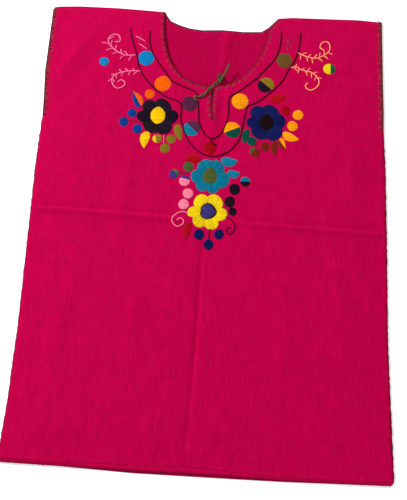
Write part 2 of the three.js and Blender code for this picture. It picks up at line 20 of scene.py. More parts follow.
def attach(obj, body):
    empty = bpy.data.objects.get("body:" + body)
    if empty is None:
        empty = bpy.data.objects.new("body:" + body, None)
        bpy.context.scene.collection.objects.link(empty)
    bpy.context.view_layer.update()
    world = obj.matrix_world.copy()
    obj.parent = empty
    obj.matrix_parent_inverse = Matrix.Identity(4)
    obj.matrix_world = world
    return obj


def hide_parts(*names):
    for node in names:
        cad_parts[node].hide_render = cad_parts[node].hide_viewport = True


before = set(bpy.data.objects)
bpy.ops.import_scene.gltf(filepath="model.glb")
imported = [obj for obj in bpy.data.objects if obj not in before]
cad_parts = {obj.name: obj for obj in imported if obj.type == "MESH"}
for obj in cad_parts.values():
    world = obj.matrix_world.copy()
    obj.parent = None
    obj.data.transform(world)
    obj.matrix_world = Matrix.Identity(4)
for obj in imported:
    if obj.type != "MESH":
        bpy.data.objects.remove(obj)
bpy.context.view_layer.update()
MM = 0.001

# %% [markdown]
# ## Camera
# The photograph was taken from above the blouse's lower part, tilted a little, so the shoulders
# are further away than the hem. The place and turn below come from fitting a pinhole camera to
# the blouse's outline. A sensor of 36 mm along the long side and a lens of 43.2 mm give it.

# %% Place the camera
SENSOR = 36.0
LENS = 43.2
CAMERA_AT = (0.01408, -0.29348, 0.93068)
CAMERA_TURN = (0.25752, 0.00519, 0.05252)


def new_object(name, data):
    made = bpy.data.objects.new(name, data)
    bpy.context.scene.collection.objects.link(made)
    return made


camera = new_object("camera", bpy.data.cameras.new("camera"))
camera.data.sensor_width = SENSOR
camera.data.lens = LENS
camera.location = CAMERA_AT
camera.rotation_euler = CAMERA_TURN
bpy.context.scene.camera = camera
print("camera looks down from", round(camera.location.z, 3), "m")

# %% [markdown]
# ## Curves and pieces
# Cords, stitches and edgings all follow soft curves through a few given points. A
# centripetal Catmull-Rom curve passes through every point and doesn't swing out at close
# ones, so it needs no handles. A piece is a mesh whose place is in its points: its object
# stays at the origin, unturned and unscaled, like the imported model's own parts.

# %% Helpers for curves and pieces
def curve_through(points, step):
    points = [Vector(point) for point in points]
    ends = [2 * points[0] - points[1], *points, 2 * points[-1] - points[-2]]
    made = []
    for a, b, c, d in zip(ends, ends[1:], ends[2:], ends[3:]):
        at_b = (b - a).length ** 0.5
        at_c = at_b + (c - b).length ** 0.5
        at_d = at_c + (d - c).length ** 0.5
        count = max(1, round((c - b).length / step))
        for i in range(count):
            at = at_b + (at_c - at_b) * i / count
            ab = a.lerp(b, at / at_b)
            bc = b.lerp(c, (at - at_b) / (at_c - at_b))
            cd = c.lerp(d, (at - at_c) / (at_d - at_c))
            abc = ab.lerp(bc, at / at_c)
            bcd = bc.lerp(cd, (at - at_b) / (at_d - at_b))
            made.append(abc.lerp(bcd, (at - at_b) / (at_c - at_b)))
    return [*made, points[-1]]


def smooth(share):
    held = min(max(share, 0.0), 1.0)
    return held * held * (3 - 2 * held)


def bell(distance, half):
    return math.exp(-((distance / half) ** 2))


def path_length(path):
    return sum((b - a).length for a, b in zip(path, path[1:]))


def plain_object(name, points, edges, faces):
    mesh = bpy.data.meshes.new(name)
    mesh.from_pydata([Vector(point) * MM for point in points], edges, faces)
    mesh.validate()
    mesh.shade_smooth()
    return new_object(name, mesh)


def new_piece(name, points, faces, finish, slot):
    piece = plain_object(name, points, [], faces)
    piece.data.materials.append(finish)
    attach(piece, "root")
    return piece


def walked(path):
    gone = 0.0
    for i, point in enumerate(path):
        before, after = path[max(i - 1, 0)], path[min(i + 1, len(path) - 1)]
        gone += (point - before).length
        yield gone, point, (after - before).normalized()


def grid_faces(rows, columns, closed=False):
    faces = []
    for i in range(rows - 1):
        for j in range(columns if closed else columns - 1):
            a, b = i * columns + j, i * columns + (j + 1) % columns
            faces.append((a, a + columns, b + columns, b))
    return faces


def joined(shapes):
    points, faces = [], []
    for more_points, more_faces in shapes:
        faces += [tuple(len(points) + i for i in face) for face in more_faces]
        points += more_points
    return points, faces


# %% [markdown]
# ## Sums in a tree of nodes
# A pattern is easier to read as a sum than as a web of nodes. `Wire` wraps one socket: plus,
# minus and times on it add Math nodes, and `node` adds any other node and gives its output
# back as a new wire. Colours are blended by a Mix node, as a Math node would turn them grey.
# The Geometry Nodes trees further down are wired in the same way.

# %% One small class for wiring nodes
class Wire:
    def __init__(self, tree, socket=None):
        self.tree = tree
        self.socket = socket

    def node(self, kind, settings=None, sockets=None, out=0):
        made = self.tree.nodes.new(kind)
        for name, value in (settings or {}).items():
            setattr(made, name, value)
        self.feed(made, sockets or {})
        return Wire(self.tree, made.outputs[out])

    def feed(self, node, sockets):
        for name, value in sockets.items():
            if isinstance(value, Wire):
                self.tree.links.new(value.socket, node.inputs[name])
            else:
                node.inputs[name].default_value = value

    def sum(self, operation, a, b=0.0):
        return self.node("ShaderNodeMath", {"operation": operation}, {0: a, 1: b})

    def blend(self, share, a, b):
        return self.node("ShaderNodeMix", {"data_type": "RGBA"}, {0: share, 6: a, 7: b}, 2)

    def __add__(self, other):
        return self.sum("ADD", self, other)

    def __sub__(self, other):
        return self.sum("SUBTRACT", self, other)

    def __mul__(self, other):
        return self.sum("MULTIPLY", self, other)


def linear(red, green, blue):
    def channel(value):
        share = value / 255
        return share / 12.92 if share <= 0.04045 else ((share + 0.055) / 1.055) ** 2.4

    return (channel(red), channel(green), channel(blue), 1.0)


def new_finish(name):
    finish = bpy.data.materials.new(name)
    finish.use_nodes = True
    return finish, Wire(finish.node_tree), finish.node_tree.nodes["Principled BSDF"]


def cloud(coordinates, x, y, z, detail=3.0, roughness=0.5):
    scale = {0: coordinates, 1: (x, y, z)}
    stretched = coordinates.node("ShaderNodeVectorMath", {"operation": "MULTIPLY"}, scale)
    sockets = {"Vector": stretched, "Scale": 1.0, "Detail": detail, "Roughness": roughness}
    return coordinates.node("ShaderNodeTexNoise", {"noise_dimensions": "3D"}, sockets)


# %% [markdown]
# ## Handwoven cotton
# The cloth is a plain weave of slubby cotton: some warp threads run thicker or take the dye
# darker, which shows as fine upright streaks, and the cloth has small soft crinkles from
# washing. Streaks come from noise that is squeezed across and stretched along the length.
# The weave is two sine waves crossed. Both go to a Bump node, for they are too fine for mesh.

# %% The cloth's finish
MAGENTA = linear(189, 0, 69)
MAGENTA_DEEP = linear(154, 0, 55)
# a darker copy of the cloth's colours for the back seen inside the neck: painted shade
SHADED_INSIDE = linear(176, 0, 64)
SHADED_INSIDE_DEEP = linear(142, 0, 50)
WEAVE_PITCH = 0.62
# each noise: how fine it is across, along and through the cloth, its detail and its roughness
SLUBS = (330, 42, 40, 3.0, 0.6)
FINE = (760, 190, 40, 2.0)
MOTTLE = (45, 24, 20)
PICKS = (30, 520, 40, 2.0)
CRINKLE = (95, 34, 60, 3.0, 0.6)


def cotton(name, light, deep):
    finish, wire, shader = new_finish(name)
    place = wire.node("ShaderNodeTexCoord", out=3)
    across, along = (wire.node("ShaderNodeSeparateXYZ", {}, {0: place}, axis) for axis in (0, 1))
    noises = (SLUBS, FINE, MOTTLE, PICKS, CRINKLE)
    slubs, fine, mottle, picks, crinkle = (cloud(place, *noise) for noise in noises)
    shade = slubs * 1.3 + fine + mottle * 0.5 + picks * 0.4 - 1.05
    turn = 2 * math.pi / (WEAVE_PITCH * MM)
    weave = wire.sum("SINE", across * turn) * wire.sum("SINE", along * turn)
    bump = {"Height": crinkle + slubs * 0.3 + weave * 0.1, "Distance": 0.0012, "Strength": 0.7}
    wire.feed(shader, {
        "Base Color": wire.blend(shade, deep, light),
        "Roughness": 0.9,
        "Specular IOR Level": 0.02,
        "Sheen Weight": 0.06,
        "Sheen Roughness": 0.4,
        "Sheen Tint": (1.0, 0.15, 0.4, 1.0),
        "Normal": wire.node("ShaderNodeBump", {}, bump),
    })
    return finish


cloth_finish = cotton("magenta_cotton", MAGENTA, MAGENTA_DEEP)
# the same cotton in darker colours, painted shade on the back inside the neck
shaded_inside_finish = cotton("magenta_cotton_painted_shade", SHADED_INSIDE, SHADED_INSIDE_DEEP)
print("cloth streaks, weave pitch", WEAVE_PITCH, "mm")

# %% [markdown]
# ## Thread
# The embroidery is worked in soft, slightly shiny cotton thread. Every stitch carries its own
# colour as an attribute on its points, so one finish serves all colours, and a little noise
# makes neighbouring stitches lighter and darker as real ones are.

# %% The threads' finish and colours
THREADS = {
    "sky": (3, 121, 183), "orange": (222, 90, 0), "amber": (231, 145, 2), "yellow": (218, 192, 7),
    "ochre": (203, 160, 7), "gold": (228, 183, 2), "purple": (82, 30, 61), "teal": (0, 108, 136),
    "deep_teal": (0, 87, 113), "green": (0, 70, 59), "dark_green": (3, 85, 44),
    "leaf_green": (65, 85, 42), "olive": (121, 104, 20), "dull_olive": (98, 75, 29),
    "dark_olive": (70, 83, 40), "red": (153, 0, 18), "blue": (0, 55, 130), "navy": (7, 18, 74),
    "ink": (23, 9, 27), "pink": (231, 122, 149), "pale_pink": (244, 122, 168),
    "rose": (192, 46, 89), "brown": (112, 29, 14), "bark": (23, 4, 9), "violet": (55, 46, 108),
    "maroon": (52, 0, 15), "salmon": (255, 158, 116), "honey": (255, 188, 86),
    "edging": (78, 31, 33), "edge_dark_painted_shadow": (85, 5, 31), "edge_soft": (136, 7, 46),
    "moss": (116, 68, 52), "moss_soft": (130, 50, 57), "dull_rose": (164, 57, 78),
    "seam": (123, 0, 42), "seam_dark": (93, 0, 31), "seam_light": (194, 31, 91),
}
THREADS = {name: linear(*seen) for name, seen in THREADS.items()}
# noises as for the cloth, nearly as fine in each direction
UNEVEN_DYE = (420, 420, 300, 2.0)
FIBRES = (2600, 2600, 2600, 2.0)


def thread_finish(name, roughness):
    finish, wire, shader = new_finish(name)
    place = wire.node("ShaderNodeTexCoord", out=3)
    dyed = wire.node("ShaderNodeAttribute", {"attribute_name": "thread_colour"})
    uneven = {"Color": dyed, "Value": cloud(place, *UNEVEN_DYE) * 0.7 + 0.65}
    bump = {"Height": cloud(place, *FIBRES), "Distance": 0.00012, "Strength": 0.5}
    wire.feed(shader, {
        "Base Color": wire.node("ShaderNodeHueSaturation", {}, uneven),
        "Roughness": roughness,
        "Specular IOR Level": 0.05,
        "Normal": wire.node("ShaderNodeBump", {}, bump),
    })
    return finish


def dye(piece, channels):
    colours = piece.data.attributes.new("thread_colour", "FLOAT_COLOR", "POINT")
    colours.data.foreach_set("color", channels)


floss_finish = thread_finish("embroidery_thread", 0.55)
crochet_finish = thread_finish("edging_thread", 0.75)
print(len(THREADS), "thread colours")

# %% [markdown]
# ## Tie
# The tie is a thin crocheted cord. Its left end runs down from the knot as two strands twisted
# round each other: one stops short, and the other ends in a small hook. Its right end leans out
# over the back of the neck, and a short loop stands beside the knot. A round tube would look
# like plastic, so the cord's section swells and dips as it goes: a chain of crochet shows as a
# row of V shapes with a groove between.

# %% A crocheted cord along a path
CHAIN_PITCH = 3.4
CORD_SIDES = 12
CORD_STEP = 0.6
SWELL = 0.15
STITCH_LEAN = 1.1
GROOVE = 0.14
GROOVE_HALF = 0.1


def chain_relief(angle, gone):
    off = abs((angle - math.pi / 2 + math.pi) % (2 * math.pi) - math.pi) / math.pi
    swell = math.cos(2 * math.pi * (gone / CHAIN_PITCH - off * STITCH_LEAN))
    return 1 - SWELL + SWELL * swell - GROOVE * bell(off, GROOVE_HALF)


def crocheted_tube(path, radius):
    points = []
    up = Vector((0, 0, 1))
    for i, (gone, point, forward) in enumerate(walked(path)):
        up = (up - forward * up.dot(forward)).normalized()
        side = forward.cross(up)
        end = 0.5 if i in (0, len(path) - 1) else 1.0
        for s in range(CORD_SIDES):
            angle = s / CORD_SIDES * 2 * math.pi
            reach = radius * end * chain_relief(angle, gone)
            points.append(point + reach * (side * math.cos(angle) + up * math.sin(angle)))
    last_ring = range(len(points) - CORD_SIDES, len(points))
    caps = [tuple(range(CORD_SIDES)), tuple(reversed(last_ring))]
    return points, grid_faces(len(path), CORD_SIDES, closed=True) + caps


def crocheted_cord(name, paths, radius, colour):
    points, faces = joined(crocheted_tube(path, radius) for path in paths)
    piece = new_piece(name, points, faces, crochet_finish, "tie")
    dye(piece, list(colour) * len(points))
    return piece


# %% The tie's knot, its short loop and its two ends
CORD_GREEN = linear(76, 80, 48)
# the knot and its loop are a darker green than the ends: painted shade on the knot
SHADED_KNOT_GREEN = linear(60, 64, 36)
KNOT = {"x": 10, "y": 254.5, "z": 5.3, "half": (8.6, 4.8, 3.4), "turn": 49}
KNOT_CORD = 2.1
KNOT_POINTS = 120
KNOT_SHARE = 0.985
KNOT_LOOP = [
    (6.4, 251.5, 5.6), (6.2, 257.5, 5.4), (7.4, 262.8, 5.2), (9.2, 264.6, 5),
    (10.6, 262.6, 5.2), (10.6, 257.5, 5.6),
]
LOOP_CORD = 2.0
LEFT_END = [
    (4.7, 248.4, 5.6), (-1, 243, 6.5), (-10, 232.5, 7), (-19, 222.5, 7), (-25, 219, 7.1),
    (-31, 219.5, 7.2), (-33.5, 216, 7.2), (-30.5, 212.6, 7.2), (-26, 213.2, 7.2),
]
RIGHT_END = [(8.6, 246.2, 6.9), (9.8, 249.3, 8.9), (11.5, 253, 10.4), (14, 258, 10.2),
             (17, 263.5, 10.8), (20.5, 271.5, 12.3), (23.9, 281, 13.5)]
STRAND = 1.4
STRANDS_APART = 1.5
TAIL = 1.75
TWIST = 34
TWIST_RISE = 0.55
PART_AT = 36
SHORT_STRAND_ENDS = 42
MEET_RUN = 6
TOLD_POINTS = 30


def twisted(path, phase, until):
    made = []
    for gone, point, forward in walked(path):
        side = forward.cross(Vector((0, 0, 1))).normalized()
        angle = phase + 2 * math.pi * gone / TWIST
        held = STRANDS_APART * (1 - smooth((gone - until) / MEET_RUN))
        lifted = Vector((0, 0, TWIST_RISE * math.sin(angle)))
        made.append(point + (side * math.cos(angle) + lifted) * held)
    return made


def knot_path():
    path = []
    turned = math.radians(KNOT["turn"])
    reach = [half - KNOT_CORD for half in KNOT["half"]]
    for i in range(KNOT_POINTS):
        t = i / (KNOT_POINTS - 1) * 2 * math.pi * KNOT_SHARE
        x = (math.sin(t) + 2 * math.sin(2 * t)) / 3 * reach[0]
        y = (math.cos(t) - 2 * math.cos(2 * t)) / 3 * reach[1]
        z = -math.sin(3 * t) * reach[2]
        along_x = x * math.cos(turned) - y * math.sin(turned)
        along_y = x * math.sin(turned) + y * math.cos(turned)
        path.append(Vector((KNOT["x"] + along_x, KNOT["y"] + along_y, KNOT["z"] + z)))
    return path


def declare_cord(piece, node, fine):
    length = path_length(fine) * MM
    last = TOLD_POINTS - 1
    told = [fine[round(i / last * (len(fine) - 1))] * MM for i in range(TOLD_POINTS)]
    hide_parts(node)
    fine[0] * MM
    print(piece.name, round(length / MM, 1), "mm")


knot = crocheted_cord("knot_of_tie", [knot_path()], KNOT_CORD, SHADED_KNOT_GREEN)
loop_path = curve_through(KNOT_LOOP, CORD_STEP)
knot_loop = crocheted_cord("loop_at_knot", [loop_path], LOOP_CORD, SHADED_KNOT_GREEN)
for piece in (knot, knot_loop):
    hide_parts("tie_knot")
left_path = curve_through(LEFT_END, CORD_STEP)
long_strand = twisted(left_path, 0, PART_AT)
short_strand = twisted(left_path, math.pi, SHORT_STRAND_ENDS)
short_strand = short_strand[:round(SHORT_STRAND_ENDS / CORD_STEP)]
left_end = crocheted_cord("left_end_of_tie", [long_strand, short_strand], STRAND, CORD_GREEN)
declare_cord(left_end, "tie_left_end", left_path)
right_path = curve_through(RIGHT_END, CORD_STEP)
right_end = crocheted_cord("right_end_of_tie", [right_path], TAIL, CORD_GREEN)
declare_cord(right_end, "tie_right_end", right_path)

# %% [markdown]
# ## The laid cloth's outline
# The tables give the outline of the laid blouse: its sides and shoulders are a little
# uneven, as cloth on a table is. `between` reads a table at any place. The two necklines are
# needed more than once: the cloth is cut beside them, and the edging is worked along them.

# %% Outline tables
SIDES = [(-390, -290, 291), (-300, -286, 289), (-180, -285, 287), (-50, -288, 289),
         (90, -291, 290), (170, -290, 289), (205, -292, 290), (260, -296, 290), (390, -296, 291)]
SHOULDERS = [(-297, 382), (-293.5, 387.5), (-285, 389.3), (-249, 391.5), (-177, 391), (-95, 387),
             (106, 383), (132, 386), (250, 387), (285, 384.5), (289.5, 381.5), (291, 377)]
HEMS = [(-290, -385, -386), (-200, -386, -387), (-90, -387, -391), (40, -387, -391.5),
        (130, -389, -391.5), (290, -388, -389)]
HEM_STITCHES = [(-290, -380), (-210, -381), (-135, -380), (-97, -381), (-41, -379), (7, -379),
                (67, -383), (117, -385), (163, -386), (290, -385)]
LEFT, RIGHT = 1, 2
FRONT, BACK = 1, 2


def between(rows, at, column=1):
    if at <= rows[0][0]:
        return rows[0][column]
    for low, high in zip(rows, rows[1:]):
        if at <= high[0]:
            share = (at - low[0]) / (high[0] - low[0])
            return low[column] + share * (high[column] - low[column])
    return rows[-1][column]


# %% Necklines
NECK_TOP = 385
NECK_LEFT = {"half": 95, "bottom": 241, "power": 2.5, "stops": 8}
NECK_RIGHT = {"half": 93, "bottom": 242, "power": 2.05, "stops": 6}
NECK_STEPS = 40
NECK_RIGHT_TURNS_OUT = 357
NECK_RIGHT_CORNER = (106, 379)
# y, x, half width
SLIT = [(239, -1.5, 2.15), (222, -3, 0.85), (199, -3, 0.55), (183, -1, 0.45)]
SLIT_END = (0, 177.5, 0.35)
BACK_NECK = [(-92, 379), (-84, 368), (-69, 361), (-51, 355), (-28, 352), (10, 354), (47, 352),
             (78, 353.5), (91, 363), (104, 378)]


def neck_side(half, side):
    path = []
    for i in range(NECK_STEPS + 1):
        turn = i / NECK_STEPS * math.pi / 2
        x = half["half"] * max(math.cos(turn), 0) ** (2 / half["power"])
        y = NECK_TOP - (NECK_TOP - half["bottom"]) * math.sin(turn) ** (2 / half["power"])
        if x > half["stops"]:
            path.append((side * x, y))
    return path


def front_neck_path():
    right = [p for p in neck_side(NECK_RIGHT, 1) if p[1] < NECK_RIGHT_TURNS_OUT]
    down = [(x - half, y) for y, x, half in SLIT]
    up = [(x + half, y) for y, x, half in reversed(SLIT)]
    x, y, radius = SLIT_END
    angles = [math.radians(degrees) for degrees in (180, 225, 270, 315, 360)]
    end = [(x + radius * math.cos(a), y + radius * math.sin(a)) for a in angles]
    return [*neck_side(NECK_LEFT, -1), *down, *end, *up, *reversed(right), NECK_RIGHT_CORNER]


def beside(path, distance):
    steps = walked([Vector(point) for point in path])
    return [(x + distance * ahead.y, y - distance * ahead.x)
            for (x, y), (_, _, ahead) in zip(path, steps)]


FRONT_NECK = front_neck_path()
print("front neck", len(FRONT_NECK), "points")

# %% [markdown]
# ## How the front lies
# The front lies on the back with air between them, so it rises from its edges to a low loft.
# Two sharp creases are left from the way it was folded up: one right across below the
# flowers, and one down the middle below them. The first is a ridge, steep above and
# running out slowly below, and the second a trough, a little steeper on its right side.
# The long soft folds are set where the photograph shows them, each with its own
# height and half width, and each is highest at its middle and runs out at both ends. The
# short ones further down are the finer puckers round the embroidery, the slit and the hem.

# %% Heights of the front
FRONT_TOP = 2.7
LOFT = 2.2
LOFT_REACH = 70
CREASE_FADE = 14
FOLD_FADE = 30
FOLD_RUN = 0.45
FINE_FADE = 12
CROSS_SLOPE = -0.032
# height, place, half width on the lower or left side, half width on the other
CROSS = (2.6, -0.4, 7, 2.1)
ABOVE_CROSS = (-1.0, 2.8, 2.0, 6)
CENTRE = (-2.5, -1.6, 4.5, 3.2)
CENTRE_WAVE = 38
CENTRE_TOP = -35
CENTRE_LINE = [(-390, -14), (-250, -8), (-160, -5), (-40, -4), (110, 8), (170, 17)]
STITCHED_HALF_WIDTH = 48
# from x, y, to x, y, height, half width
SOFT_FOLDS = [
    (-208, 350, -284, 235, 1.6, 13), (-180, 335, -262, 205, -1.0, 13),
    (-134, 120, -141, -40, 1.2, 11), (-168, 150, -175, -20, -0.7, 12),
    (-205, -70, -228, -215, 1.3, 13), (-150, -180, -163, -370, -0.9, 10),
    (-95, -60, -110, -250, 0.9, 12), (157, 195, 168, 70, -1.0, 8),
    (238, 150, 229, 30, 1.2, 12), (205, -50, 214, -220, 1.1, 13),
    (120, -90, 128, -300, 0.8, 14), (60, -255, 175, -243, -0.8, 7), (170, 268, 276, 271, -0.7, 7),
]
FINE_FOLDS = [
    (-1, 175, 8, 128, -0.5, 4), (15, 200, 17, 172, 0.5, 3), (-29, -338, -30, -379, 0.5, 4),
    (-60, -20, -75, -110, 0.4, 6), (70, 0, 92, -90, 0.4, 6), (-160, 120, -215, 60, 0.45, 7),
    (160, 120, 215, 70, 0.4, 7), (-35, -60, -48, -140, -0.4, 6), (-240, 60, -252, -30, 0.4, 7),
    (262, -90, 256, -190, 0.4, 6), (-262, -250, -255, -350, 0.4, 7), (88, 110, 100, 40, -0.35, 6),
    (-13, -290, -4, -352, -0.7, 2.4), (8, -40, 4, -118, -0.8, 2.6), (3.5, 232, 3, 156, 2.6, 7),
    (16, 242, 12, 140, -1.6, 7),
]


def crease_height(crease, distance):
    height, at, half_before, half_after = crease
    off = distance - at
    return height * bell(off, half_before if off < 0 else half_after)


def fold_height(fold, x, y):
    x1, y1, x2, y2, height, half = fold
    along_x, along_y = x2 - x1, y2 - y1
    length = math.hypot(along_x, along_y)
    run = ((x - x1) * along_x + (y - y1) * along_y) / length**2 - 0.5
    if abs(run) > 1.2:
        return 0.0
    off = ((x - x1) * along_y - (y - y1) * along_x) / length
    return height * bell(off, half) * bell(run, FOLD_RUN)


def nearest_edge(x, y):
    left = x - between(SIDES, y, LEFT)
    right = between(SIDES, y, RIGHT) - x
    return min(left, right, between(SHOULDERS, x) - y, y - between(HEMS, x, FRONT))


def lift(x, y):
    nearest = nearest_edge(x, y)
    below = y - CROSS_SLOPE * x
    cross = crease_height(CROSS, below) + crease_height(ABOVE_CROSS, below)
    cross *= 1 - bell(x, STITCHED_HALF_WIDTH)
    fade = smooth((CENTRE_TOP - y) / CREASE_FADE)
    uneven = 0.75 + 0.25 * math.sin(y / CENTRE_WAVE)
    centre = fade * uneven * crease_height(CENTRE, x - between(CENTRE_LINE, y))
    folds = sum(fold_height(fold, x, y) for fold in SOFT_FOLDS)
    soft = LOFT * smooth(nearest / LOFT_REACH) + folds * smooth(nearest / FOLD_FADE)
    return max(0.0, soft + smooth(nearest / CREASE_FADE) * (cross + centre))


def front_height(x, y):
    fine = sum(fold_height(fold, x, y) for fold in FINE_FOLDS)
    return FRONT_TOP + lift(x, y) + fine * smooth(nearest_edge(x, y) / FINE_FADE)


print("height over the chest", round(front_height(-200, 100), 2), "mm")

# %% [markdown]
# ## The cloth
# Each half is one thin sheet. Its outline has a neck and a slit, so a plain grid can't follow
# it: the outline and a close grid of points inside it are joined into triangles by a
# constrained Delaunay triangulation, which keeps the outline exact. Extra rows of points run
# along the sharp creases and the hem. Solidify then gives the sheet its thickness.

# %% Outline and points of a half
CLOTH = 1.0
GRID = 4.2
ROW_SHARE = 0.87
SIDE_STEP = 8
WIDEST = 294
CLEAR = 2.4
EDGING_ROOM = 2.5
UNDERARM = 173
STEPS_IN = (171, 171.4)
CUT_OFF_FRONT_NECK = 0.4
CUT_OFF_BACK_NECK = 1.0
ROLL = 1.5


def side_at(y, column):
    inside = EDGING_ROOM if y > STEPS_IN[0] else 0
    return between(SIDES, y, column) + (inside if column == LEFT else -inside)


def close_points(points, step):
    made = []
    for a, b in zip(points, points[1:]):
        a, b = Vector(a), Vector(b)
        count = max(1, math.ceil((b - a).length / step))
        made += [a.lerp(b, i / count) for i in range(count)]
    return [*made, Vector(points[-1])]


def outline_of(hem, neck, shoulder_in):
    heights = sorted([*range(-384, 376, SIDE_STEP), *STEPS_IN])
    hem_line = [(x, between(HEMS, x, hem)) for x in (*range(-288, 284, SIDE_STEP), 286.5)]
    right = [(side_at(y, RIGHT), y) for y in heights]
    left = [(side_at(y, LEFT), y) for y in reversed(heights)]
    top = sorted((x for x, _ in SHOULDERS[1:-1]), reverse=True)
    neck_left, neck_right = neck[0][0], neck[-1][0]
    shoulder = [(x, between(SHOULDERS, x) - shoulder_in) for x in top]
    right_shoulder = [p for p in shoulder if p[0] > neck_right + 1]
    left_shoulder = [p for p in shoulder if p[0] < neck_left - 1]
    cut = [p for p in neck if p[1] < between(SHOULDERS, p[0]) - shoulder_in - 0.5]
    ends = [(x, between(SHOULDERS, x) - shoulder_in) for x in (neck_right, neck_left)]
    across = [*right_shoulder, ends[0], *reversed(cut), ends[1], *left_shoulder]
    loop = [*hem_line, *right, *across, *left]
    return close_points([*loop, loop[0]], GRID)[:-1]


def inside_points(loop, rows):
    points = []
    near = KDTree(len(loop))
    for i, edge_point in enumerate(loop):
        near.insert(edge_point.to_3d(), i)
    near.balance()
    for row, y in enumerate(rows):
        x = -WIDEST + (row % 2) * GRID / 2
        while x < WIDEST:
            point = Vector((x, y + CROSS_SLOPE * x))
            if near.find(point.to_3d())[2] > CLEAR:
                points.append(point)
            x += GRID
    return points


def sheet(loop, points, height):
    edges = [(i, (i + 1) % len(loop)) for i in range(len(loop))]
    made = delaunay_2d_cdt([*loop, *points], edges, [list(range(len(loop)))], 1, 1e-4)
    used = sorted({corner for face in made[2] for corner in face})
    place = {corner: i for i, corner in enumerate(used)}
    placed = [(made[0][i].x, made[0][i].y, height(made[0][i].x, made[0][i].y)) for i in used]
    return placed, [tuple(place[corner] for corner in face) for face in made[2]]


def thicken(piece):
    wall = piece.modifiers.new("cloth thickness", "SOLIDIFY")
    wall.thickness = CLOTH * MM
    wall.offset = -1
    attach(piece, "root")


# %% Front half
HEM_THICKER = 0.8
HEM_STEP_UP = 1.4
EDGE_ROLL = 0.65
EDGE_ROLL_REACH = 3
CREASE_STEP = 1.1
CREASE_ROWS = (-19, 16)
HEM_ROWS = -374
CENTRE_BAND = 14
CENTRE_COLUMNS = (-13, -10.5, -8.5, -6.8, -5.2, -3.8, -2.6, -1.6, -0.8, 0, 0.8, 1.7, 2.8, 4.2,
                  6.2, 9, 12)


def front_sheet_height(x, y):
    in_hem = HEM_THICKER * smooth((between(HEM_STITCHES, x) - y) / HEM_STEP_UP)
    to_side = min(x - between(SIDES, y, LEFT), between(SIDES, y, RIGHT) - x)
    sewn = EDGE_ROLL * (1 - smooth(to_side / EDGE_ROLL_REACH)) if y < STEPS_IN[0] else 0
    return front_height(x, y) + in_hem - sewn


front_rows = []
row_y = -386.0
while row_y < 392:
    front_rows.append(row_y)
    in_crease = CREASE_ROWS[0] < row_y < CREASE_ROWS[1] or row_y < HEM_ROWS
    row_y += CREASE_STEP if in_crease else GRID * ROW_SHARE
front_neck_cut = beside(FRONT_NECK, CUT_OFF_FRONT_NECK)
front_loop = outline_of(FRONT, front_neck_cut, ROLL + 2)
crease_points = []
for y in range(-390, -30, 4):
    middle = between(CENTRE_LINE, y)
    crease_points += [Vector((middle + off, y)) for off in CENTRE_COLUMNS]
crease_points = [p for p in crease_points if p.y > between(HEMS, p.x, FRONT) + 3]


def off_centre_crease(p):
    return p.y > -32 or abs(p.x - between(CENTRE_LINE, p.y)) > CENTRE_BAND


front_points = [p for p in inside_points(front_loop, front_rows) if off_centre_crease(p)]
front_points += crease_points
front_sheet = sheet(front_loop, front_points, front_sheet_height)
print("front sheet", len(front_sheet[1]), "triangles")

# %% [markdown]
# ## Roll over the shoulders
# At the top the front cloth turns down over the back half's top edge, because it is the same
# length of cloth. The front sheet stops just before the turn, so the turn is a strip of four
# rows added along each shoulder, down to the table.

# %% Shoulder strips
# how far past the turn's start, height; the first row takes the cloth's own height
SHOULDER_ROLL = [(-2, FRONT_TOP), (0.2, 2.55), (1.0, 2.0), (1.5, 1.2), (1.5, 0.1)]
SHOULDER_ENDS = (-293.5, 288.5)


def shoulder_strip(first_x, last_x):
    count = round(abs(last_x - first_x) / GRID)
    points = []
    for i in range(count + 1):
        x = first_x + (last_x - first_x) * i / count
        edge = between(SHOULDERS, x) - ROLL
        for past, z in SHOULDER_ROLL:
            points.append((x, edge + past, front_height(x, edge + past) if past < 0 else z))
    return points, grid_faces(count + 1, len(SHOULDER_ROLL))


left_strip = shoulder_strip(SHOULDER_ENDS[0], front_neck_cut[0][0])
right_strip = shoulder_strip(front_neck_cut[-1][0], SHOULDER_ENDS[1])
front_shape = joined([front_sheet, left_strip, right_strip])
front = new_piece("front_cloth", *front_shape, cloth_finish, "cloth")
thicken(front)
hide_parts("front_panel")
print("front with its shoulders", len(front.data.polygons), "faces")

# %% [markdown]
# ## Back half
# The back lies flat on the table and shows only inside the neck. There it has one soft fold that
# leans to the right and one narrow pucker, both set where the photograph shows them. It is made
# in the same way as the front, with a darker copy of the cloth's finish that is painted shade
# inside the neck.

# %% Back half
BACK_TOP = 1.05
BACK_FOLD = 1.9


def back_height(x, y):
    drawn = 0.12 * math.sin(x / 23 + y / 61) * smooth(nearest_edge(x, y) / 20)
    fold = BACK_FOLD * bell(x - 19 - (y - 330) / 9, 8) * smooth((y - 255) / 25)
    fold *= smooth((360 - y) / 18)
    pucker = 0.35 * bell(x + 13, 1.8) * smooth((y - 318) / 12) * smooth((352 - y) / 12)
    return BACK_TOP + max(0, drawn) + fold + pucker


back_rows = [-388 + i * GRID * ROW_SHARE for i in range(213)]
back_neck_cut = beside(BACK_NECK, CUT_OFF_BACK_NECK)
back_loop = outline_of(BACK, back_neck_cut, ROLL)
back_points = inside_points(back_loop, back_rows)
back_shape = sheet(back_loop, back_points, back_height)
# the back takes the darker copy of the cotton: painted shade inside the neck
back = new_piece("back_cloth", *back_shape, shaded_inside_finish, "cloth")
thicken(back)
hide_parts("back_panel")
print("back cloth", len(back.data.polygons), "triangles")

# %% [markdown]
# ## One length of thread
# A satin stitch goes down into the cloth at both ends and arches a little between them.
# Each stitch is a chain of points with its colour on them. One Geometry Nodes tree turns a
# whole mesh of such chains into thread: chains to curves, curves to thin six-sided tubes with
# closed ends, then Realize Instances and Set Material. The result is kept as a plain mesh.

